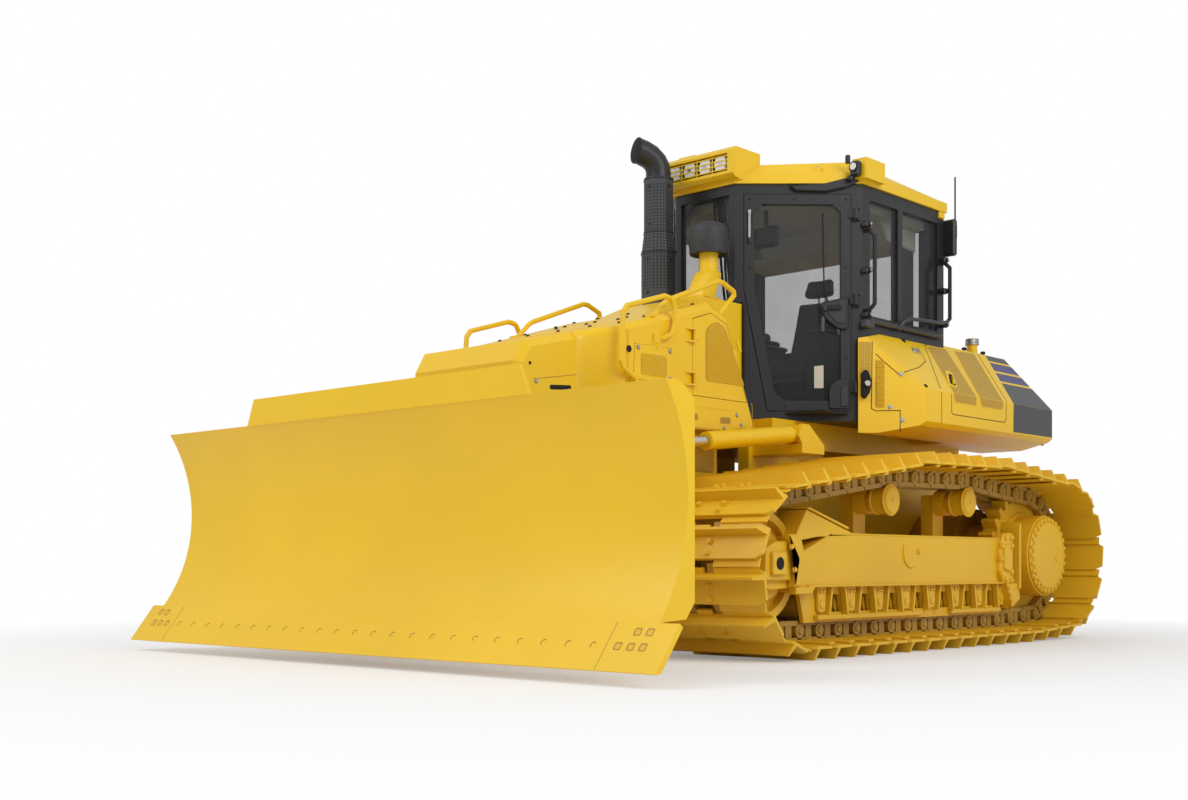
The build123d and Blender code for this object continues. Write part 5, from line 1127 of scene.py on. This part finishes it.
def makeInterior():
    shape = bmesh.new()
    # roof lining with its air outlets and a screen
    addPlate(shape, [(-0.18, 0.24), (0.18, 0.24), (0.76, 0.78), (0.76, 1.69), (-0.76, 1.69), (-0.76, 0.78)],
             2.93, 2.998, Matrix(), 0.0, 0.0, 0)
    addPlate(shape, [(1.2, 2.93), (1.3, 2.8), (1.68, 2.78), (1.68, 2.93)], -0.7, 0.7,
             facing((0, 0, 0), (0, 1, 0), (0, 0, 1)), 0.0, 0.01, 0)
    slope = facing((0, 1.2, 2.93), (1, 0, 0), (0, 0.1, -0.13))
    for side in (-1, 1):
        outlet = side * 0.42
        for k in range(7):
            addBox(shape, (outlet - 0.06, 0.02 + k * 0.018, 0.0), (outlet + 0.06, 0.028 + k * 0.018, 0.004), 0.0, 2,
                   slope)
        addBox(shape, (side * 0.66 - 0.03, 1.45, 1.56), (side * 0.66 + 0.03, 1.68, 2.9), 0.02, 1)
    addBox(shape, (0.16, 0.44, 2.68), (0.36, 0.48, 2.82), 0.01, 1)
    addBox(shape, (0.18, 0.436, 2.7), (0.34, 0.442, 2.8), 0.002, 3)
    addBox(shape, (0.25, 0.45, 2.8), (0.27, 0.47, 2.95), 0.0, 1)
    # consoles: caps, levers, rails and pads
    for side in (-1, 1):
        console = side * 0.37
        addBox(shape, (console - 0.085, 0.86, 2.135), (console + 0.085, 1.5, 2.17), 0.014, 1)
        addBox(shape, (console - 0.05, 1.1, 2.17), (console + 0.05, 1.46, 2.215), 0.02, 2)
        addDisc(shape, at(console, 0.95), 0.035, 2.165, 2.2, 20, 0.006, 2, 0.018)
        addDisc(shape, at(console, 0.95), 0.011, 2.19, 2.26, 12, 0.0, 2)
        addDisc(shape, at(console, 0.95), 0.024, 2.25, 2.35, 16, 0.01, 1, 0.03)
        for k in range(5):
            addBox(shape, (console - 0.055, 1.0 + k * 0.016, 2.168), (console + 0.055, 1.008 + k * 0.016, 2.174),
                   0.0, 2)
    addBox(shape, (-0.24, 0.33, 2.05), (0.24, 0.56, 2.11), 0.02, 1)
    for x in (-0.13, 0.13):
        addBox(shape, (x - 0.07, 0.56, 1.57), (x + 0.07, 0.72, 1.6), 0.008, 2)
    addBox(shape, (-0.8, 0.35, 1.52), (0.8, 1.7, 1.535), 0.0, 2)
    closePiece("cabInterior", shape, "chassis", "cab_plastic", lining, plastic, rubber, iron)
    for side, word in bothSides:
        hoop = ((0.86, 2.14), (0.86, 2.24), (0.89, 2.27), (1.02, 2.27), (1.05, 2.24), (1.05, 2.14))
        makeTube("armGuard" + word, [(side * 0.45, y, z) for y, z in hoop], 0.011, "chassis", zinc)


def makeCushion(name, low, high, lean=0.0, taper=0.0, swell=0.012):
    # soft block: it starts small, is blown up as cloth, then gets its sewn channels
    shape = bmesh.new()
    size = [b - a - 2 * swell for a, b in zip(low, high)]
    middle = [(a + b) / 2 for a, b in zip(low, high)]
    made = bmesh.ops.create_cube(shape, size=1.0, matrix=Matrix.Diagonal((*size, 1.0)))["verts"]
    for vert in made:
        if vert.co.z > 0:
            vert.co.x *= 1.0 - taper
    bevelEdges(shape, made, min(size) * 0.24, 3)
    mesh = bpy.data.meshes.new(name)
    shape.to_mesh(mesh)
    shape.free()
    piece = bpy.data.objects.new(name, mesh)
    bpy.context.scene.collection.objects.link(piece)
    remesh = piece.modifiers.new("even", "REMESH")
    remesh.mode = "VOXEL"
    remesh.voxel_size = 0.012
    settle(piece)
    start = [vert.co.copy() for vert in piece.data.vertices]
    cushion = piece.modifiers.new("fill", "CLOTH")
    cushion.settings.use_pressure = True
    cushion.settings.uniform_pressure_force = 4.0
    cushion.settings.effector_weights.gravity = 0.0
    scene = bpy.context.scene
    for step in range(1, 21):
        scene.frame_set(step)
    settle(piece)
    scene.frame_set(1)
    for vert, first in zip(piece.data.vertices, start):
        moved = vert.co - first
        if moved.length > swell:
            vert.co = first + moved.normalized() * swell
    turn = Matrix.Translation(middle) @ Matrix.Rotation(lean, 4, "X")
    reach = size[2] / 2
    for vert in piece.data.vertices:
        # sewn channels across the front of the pad
        strip = abs((vert.co.z if lean else vert.co.y) / 0.105) % 1.0
        if abs(vert.co.x) < size[0] * 0.3:
            vert.co *= 1.0 - 0.03 * max(0.0, 1.0 - abs(strip - 0.5) / 0.09)
        if lean:
            vert.co.y += 0.03 * (vert.co.x / (size[0] / 2)) ** 2 * -1.0
        elif vert.co.z > reach * 0.5:
            vert.co.z += 0.012 * (vert.co.x / (size[0] / 2)) ** 2
    piece.data.transform(turn)
    smoother = piece.modifiers.new("smooth", "SUBSURF")
    smoother.levels = 1
    smoother.render_levels = 1
    settle(piece)
    piece.data.shade_smooth()
    piece.data.materials.append(cloth)
    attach(piece, "chassis")
    return piece


def settle(piece):
    # modifiers worked into the mesh itself
    graph = bpy.context.evaluated_depsgraph_get()
    graph.update()
    done = bpy.data.meshes.new_from_object(piece.evaluated_get(graph))
    piece.modifiers.clear()
    piece.data = done


def makeSeat():
    base = makeCushion("seatCushion", (-0.258, 0.955, 1.86), (0.258, 1.47, 2.0))
    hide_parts("seat")
    makeCushion("seatBack", (-0.236, 1.43, 2.0), (0.236, 1.54, 2.5), -0.15, 0.22)
    makeCushion("seatHeadrest", (-0.13, 1.475, 2.51), (0.13, 1.56, 2.65), -0.15, 0.2, 0.008)
    shape = bmesh.new()
    addBox(shape, (-0.2, 1.05, 1.522), (0.2, 1.42, 1.6), 0.01, 1)
    for k in range(6):
        addBox(shape, (-0.185 + k * 0.004, 1.06 + k * 0.004, 1.6 + k * 0.036),
               (0.185 - k * 0.004, 1.41 - k * 0.004, 1.63 + k * 0.036), 0.01, 0)
    addBox(shape, (-0.235, 0.98, 1.82), (0.235, 1.46, 1.862), 0.012, 1)
    for side in (-1, 1):
        addBox(shape, (side * 0.03 - 0.006, 1.52, 2.44), (side * 0.03 + 0.006, 1.532, 2.56), 0.0, 2)
        addBox(shape, (side * 0.252 - 0.006, 1.38, 1.84), (side * 0.252 + 0.006, 1.44, 2.06), 0.004, 1)
    closePiece("seatBase", shape, "chassis", "seat_cloth", rubber, plastic, zinc)


makeCabDoorTrim()
makeCabTrim()
makeLampHousing()
makeInterior()
makeSeat()
print("cab dressed")

tank = {"ridge": (0.85, 0.0, 2.105), "slopeUp": (-0.33, 0.0, 0.408), "frontFoot": (0.87, 0.645, 0.0),
        "frontAlong": (0.31, 0.34, 0.0), "meshes": (
            (((1.515, -0.055), (1.77, -0.03), (1.79, -0.05), (1.672, -0.522), (1.352, -0.522), (1.5, -0.075)),
             [(1.672, 1.697), (1.352, 1.697), (1.362, 1.655), (1.385, 1.638), (1.65, 1.634), (1.67, 1.65)]),
            (((1.925, -0.035), (2.21, -0.015), (2.228, -0.035), (2.068, -0.522), (1.718, -0.522), (1.912, -0.055)),
             [(2.068, 1.697), (1.718, 1.697), (1.74, 1.65), (1.765, 1.637), (2.035, 1.638), (2.06, 1.655)]))}


def makeTankSkin():
    shape = bmesh.new()
    slope = facing(tank["ridge"], (0, 1, 0), tank["slopeUp"])
    belt = facing((1.18, 0, 0), (0, 1, 0), (0, 0, 1))
    for outline, below in tank["meshes"]:
        # mesh panels in the darker punched sheet: painted shade behind the mesh
        addPlate(shape, outline[::-1], -0.001, 0.0012, slope, 0.0, 0.0, 3)
        addPlate(shape, below, -0.001, 0.0012, belt, 0.0, 0.0, 3)
        addSeam(shape, [*outline, outline[0]], slope, 0.005, 0.0022, 0)
        addSeam(shape, below[1:] + below[:1], belt, 0.005, 0.0022, 0)
    # door seam, handle in its frame, latch, plugs; the near-black plate under the grip is painted shade in its recess
    addSeam(shape, [(1.567, -0.02), (1.485, -0.05), (1.2, -0.5)], slope, 0.005, 0.001, 2)
    addSeam(shape, [(2.3, -0.01), (2.14, -0.51)], slope, 0.005, 0.001, 2)
    handle = [(1.49, -0.29), (1.58, -0.305), (1.475, -0.465), (1.365, -0.45)]
    addPlate(shape, handle[::-1], 0.0, 0.006, slope, 0.015, 0.003)
    addRing(shape, handle[::-1], 0.014, 0.005, 0.014, slope, 0.015)
    addPlate(shape, [(1.497, -0.325), (1.545, -0.335), (1.46, -0.45), (1.405, -0.43)][::-1], 0.006, 0.008, slope, 0.01,
             0.0, 2)
    addPlate(shape, [(1.5, -0.355), (1.515, -0.36), (1.44, -0.44), (1.425, -0.435)][::-1], 0.008, 0.024, slope, 0.004,
             0.003)
    addSeam(shape, [(1.35, -0.08), (1.304, -0.228), (1.12, -0.313), (0.86, -0.39)], slope, 0.005, 0.001, 2)
    addPlate(shape, [(1.235, -0.11), (1.31, -0.12), (1.29, -0.165), (1.215, -0.155)][::-1],
             0.0, 0.01, slope, 0.01, 0.003, 1)
    addDisc(shape, slope @ at(1.207, -0.037), 0.026, -0.001, 0.003, 24, 0.001, 2)
    addDisc(shape, slope @ at(1.005, -0.5), 0.016, -0.001, 0.006, 16, 0.002, 2)
    # front panel: rectangular mesh, tall louvre in its frame, door seam and studs; the mesh and the sheet behind the
    # louvre are the darker punched sheet, painted shade
    front = facing(tank["frontFoot"], tank["frontAlong"], (0, 0, 1))
    vent = [(0.008, 1.77), (0.085, 1.765), (0.085, 2.0), (0.008, 2.0)]
    addPlate(shape, vent, -0.001, 0.002, front, 0.006, 0.0, 3)
    addRing(shape, grown(vent, 0.004), 0.006, 0.0, 0.004, front, 0.008)
    tall = [(0.118, 1.572), (0.178, 1.568), (0.178, 1.875), (0.118, 1.885)]
    addPlate(shape, tall, 0.0, 0.002, front, 0.008, 0.0, 3)
    addRing(shape, grown(tall, 0.01), 0.014, 0.0, 0.012, front, 0.012)
    addLouvres(shape, tall, 0.012, 0.005, 0.002, 0.008, front, 0.5, 0, 0.006)
    addSeam(shape, [(0.095, 2.0), (0.09, 1.56), (0.12, 1.545), (0.284, 1.55), (0.284, 1.41)], front, 0.005, 0.001, 2)
    addSeam(shape, [(0.12, 1.92), (0.2, 1.85), (0.284, 1.78)], front, 0.005, 0.001, 2)
    for s, z in ((0.216, 1.572), (0.297, 1.486), (0.29, 1.79)):
        addBolt(shape, front @ at(s, z), 0.013, 1)
    # rubber stop with its pin, clear of the open cab door
    stop = [(0.018, 1.64), (0.018, 1.79), (0.04, 1.815), (0.062, 1.8), (0.085, 1.735), (0.07, 1.66), (0.04, 1.62)]
    addPlate(shape, stop, -0.002, 0.04, front, 0.008, 0.006, 2)
    addDisc(shape, front @ at(0.05, 1.72), 0.02, 0.038, 0.06, 20, 0.004, 1)
    # seams down the belt, lower edge of the side door
    addSeam(shape, [(1.19, 1.69), (1.19, 1.485)], belt, 0.005, 0.001, 2)
    addSeam(shape, [(1.324, 1.69), (1.324, 1.565), (1.345, 1.552), (2.09, 1.552), (2.113, 1.575), (2.113, 1.69)], belt,
            0.005, 0.001, 2)
    closePiece("tankSkin", shape, "chassis", "yellow_paint", yellow, zinc, dark, screen, mirrorTo="Right")
    shape = bmesh.new()
    # grey flash with two stripes, wrapping from the top edge to the belt, left bare of any mark
    edge = [(2.43, 0.0), (2.23, -0.524)]

    def across(d0, d1, paintIndex, proud):
        left = [edge[0][0] + (edge[1][0] - edge[0][0]) * d / -0.524 for d in (d0, d1)]
        right = [min(2.852, 2.727 + (-d) * 0.244) for d in (d0, d1)]
        addPlate(shape, [(left[1], d1), (right[1], d1), (right[0], d0), (left[0], d0)], 0.0, proud, slope, 0.0, 0.0,
                 paintIndex)

    across(-0.004, -0.062, 0, 0.0008)
    across(-0.084, -0.172, 1, 0.0008)
    across(-0.196, -0.284, 1, 0.0008)
    across(-0.308, -0.523, 0, 0.0008)
    addPlate(shape, [(2.223, 1.492), (2.853, 1.492), (2.853, 1.697), (2.23, 1.697)], 0.0, 0.0008, belt, 0.0, 0.0, 0)
    closePiece("tankFlash", shape, "chassis", "yellow_paint", band, stripe, mirrorTo="Right")
    shape = bmesh.new()
    for z0, z1, radius, paintIndex in ((2.105, 2.118, 0.056, 0), (2.12, 2.16, 0.04, 0), (2.185, 2.2, 0.052, 1),
                                       (2.2, 2.232, 0.0475, 1), (2.231, 2.236, 0.04, 1)):
        addDisc(shape, at(0.75, 2.415), radius, z0, z1, 32, 0.003, paintIndex)
    for k in range(16):
        turn = at(0.75, 2.415) @ Matrix.Rotation(k * math.tau / 16, 4, "Z")
        addBox(shape, (0.046, -0.004, 2.2), (0.0495, 0.004, 2.23), 0.0, 1, turn)
    for y in (2.275, 2.564):
        addDisc(shape, at(0.76, y), 0.012, 2.104, 2.135, 12, 0.0, 2)
        addDisc(shape, at(0.76, y), 0.019, 2.132, 2.155, 16, 0.005, 2)
    closePiece("fillerFittings", shape, "chassis", "yellow_paint", yellow, zinc, rubber)


def makeTankRear():
    shape = bmesh.new()
    back = facing((0, 2.855, 0), (-1, 0, 0), (0, 0, 1))
    for side in (-1, 1):
        x = side * 0.94
        lamp = [(x - 0.06, 1.52), (x + 0.06, 1.52), (x + 0.06, 1.64), (x - 0.06, 1.64)]
        addPlate(shape, lamp, -0.001, 0.012, back, 0.015, 0.003, 1)
        addDisc(shape, back @ at(x, 1.58), 0.038, 0.01, 0.02, 24, 0.004, 2)
        for z in (1.45, 1.66):
            addBolt(shape, back @ at(side * 1.1, z), 0.013, 3)
    closePiece("tankRear", shape, "chassis", "yellow_paint", yellow, black, lens, zinc)
    shape = bmesh.new()
    # louvred cover over the fan; the sheet behind the louvres is near-black, painted shade
    x0, x1 = -0.6, 0.6
    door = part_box("rear_grille_door")
    y = max(door[0][1], door[1][1])
    face = facing((0, y, 0), (-1, 0, 0), (0, 0, 1))
    z0, z1 = door[0][2] + 0.07, door[1][2] - 0.07
    outline = [(x0, z0), (x1, z0), (x1, z1), (x0, z1)]
    addPlate(shape, outline, -0.001, 0.001, face, 0.03, 0.0, 1)
    addRing(shape, grown(outline, 0.012), 0.02, -0.001, 0.012, face, 0.03)
    addLouvres(shape, outline, 0.034, 0.012, 0.0, 0.012, face, 0.5, 0, 0.012)
    for x in (x0 - 0.035, x1 + 0.035):
        for z in (z0, (z0 + z1) / 2, z1):
            addBolt(shape, face @ at(x, z), 0.014, 2)
    closePiece("coverLouvres", shape, "rear_door", "yellow_paint", yellow, dark, zinc)


makeTankSkin()
makeTankRear()
print("rear body dressed")
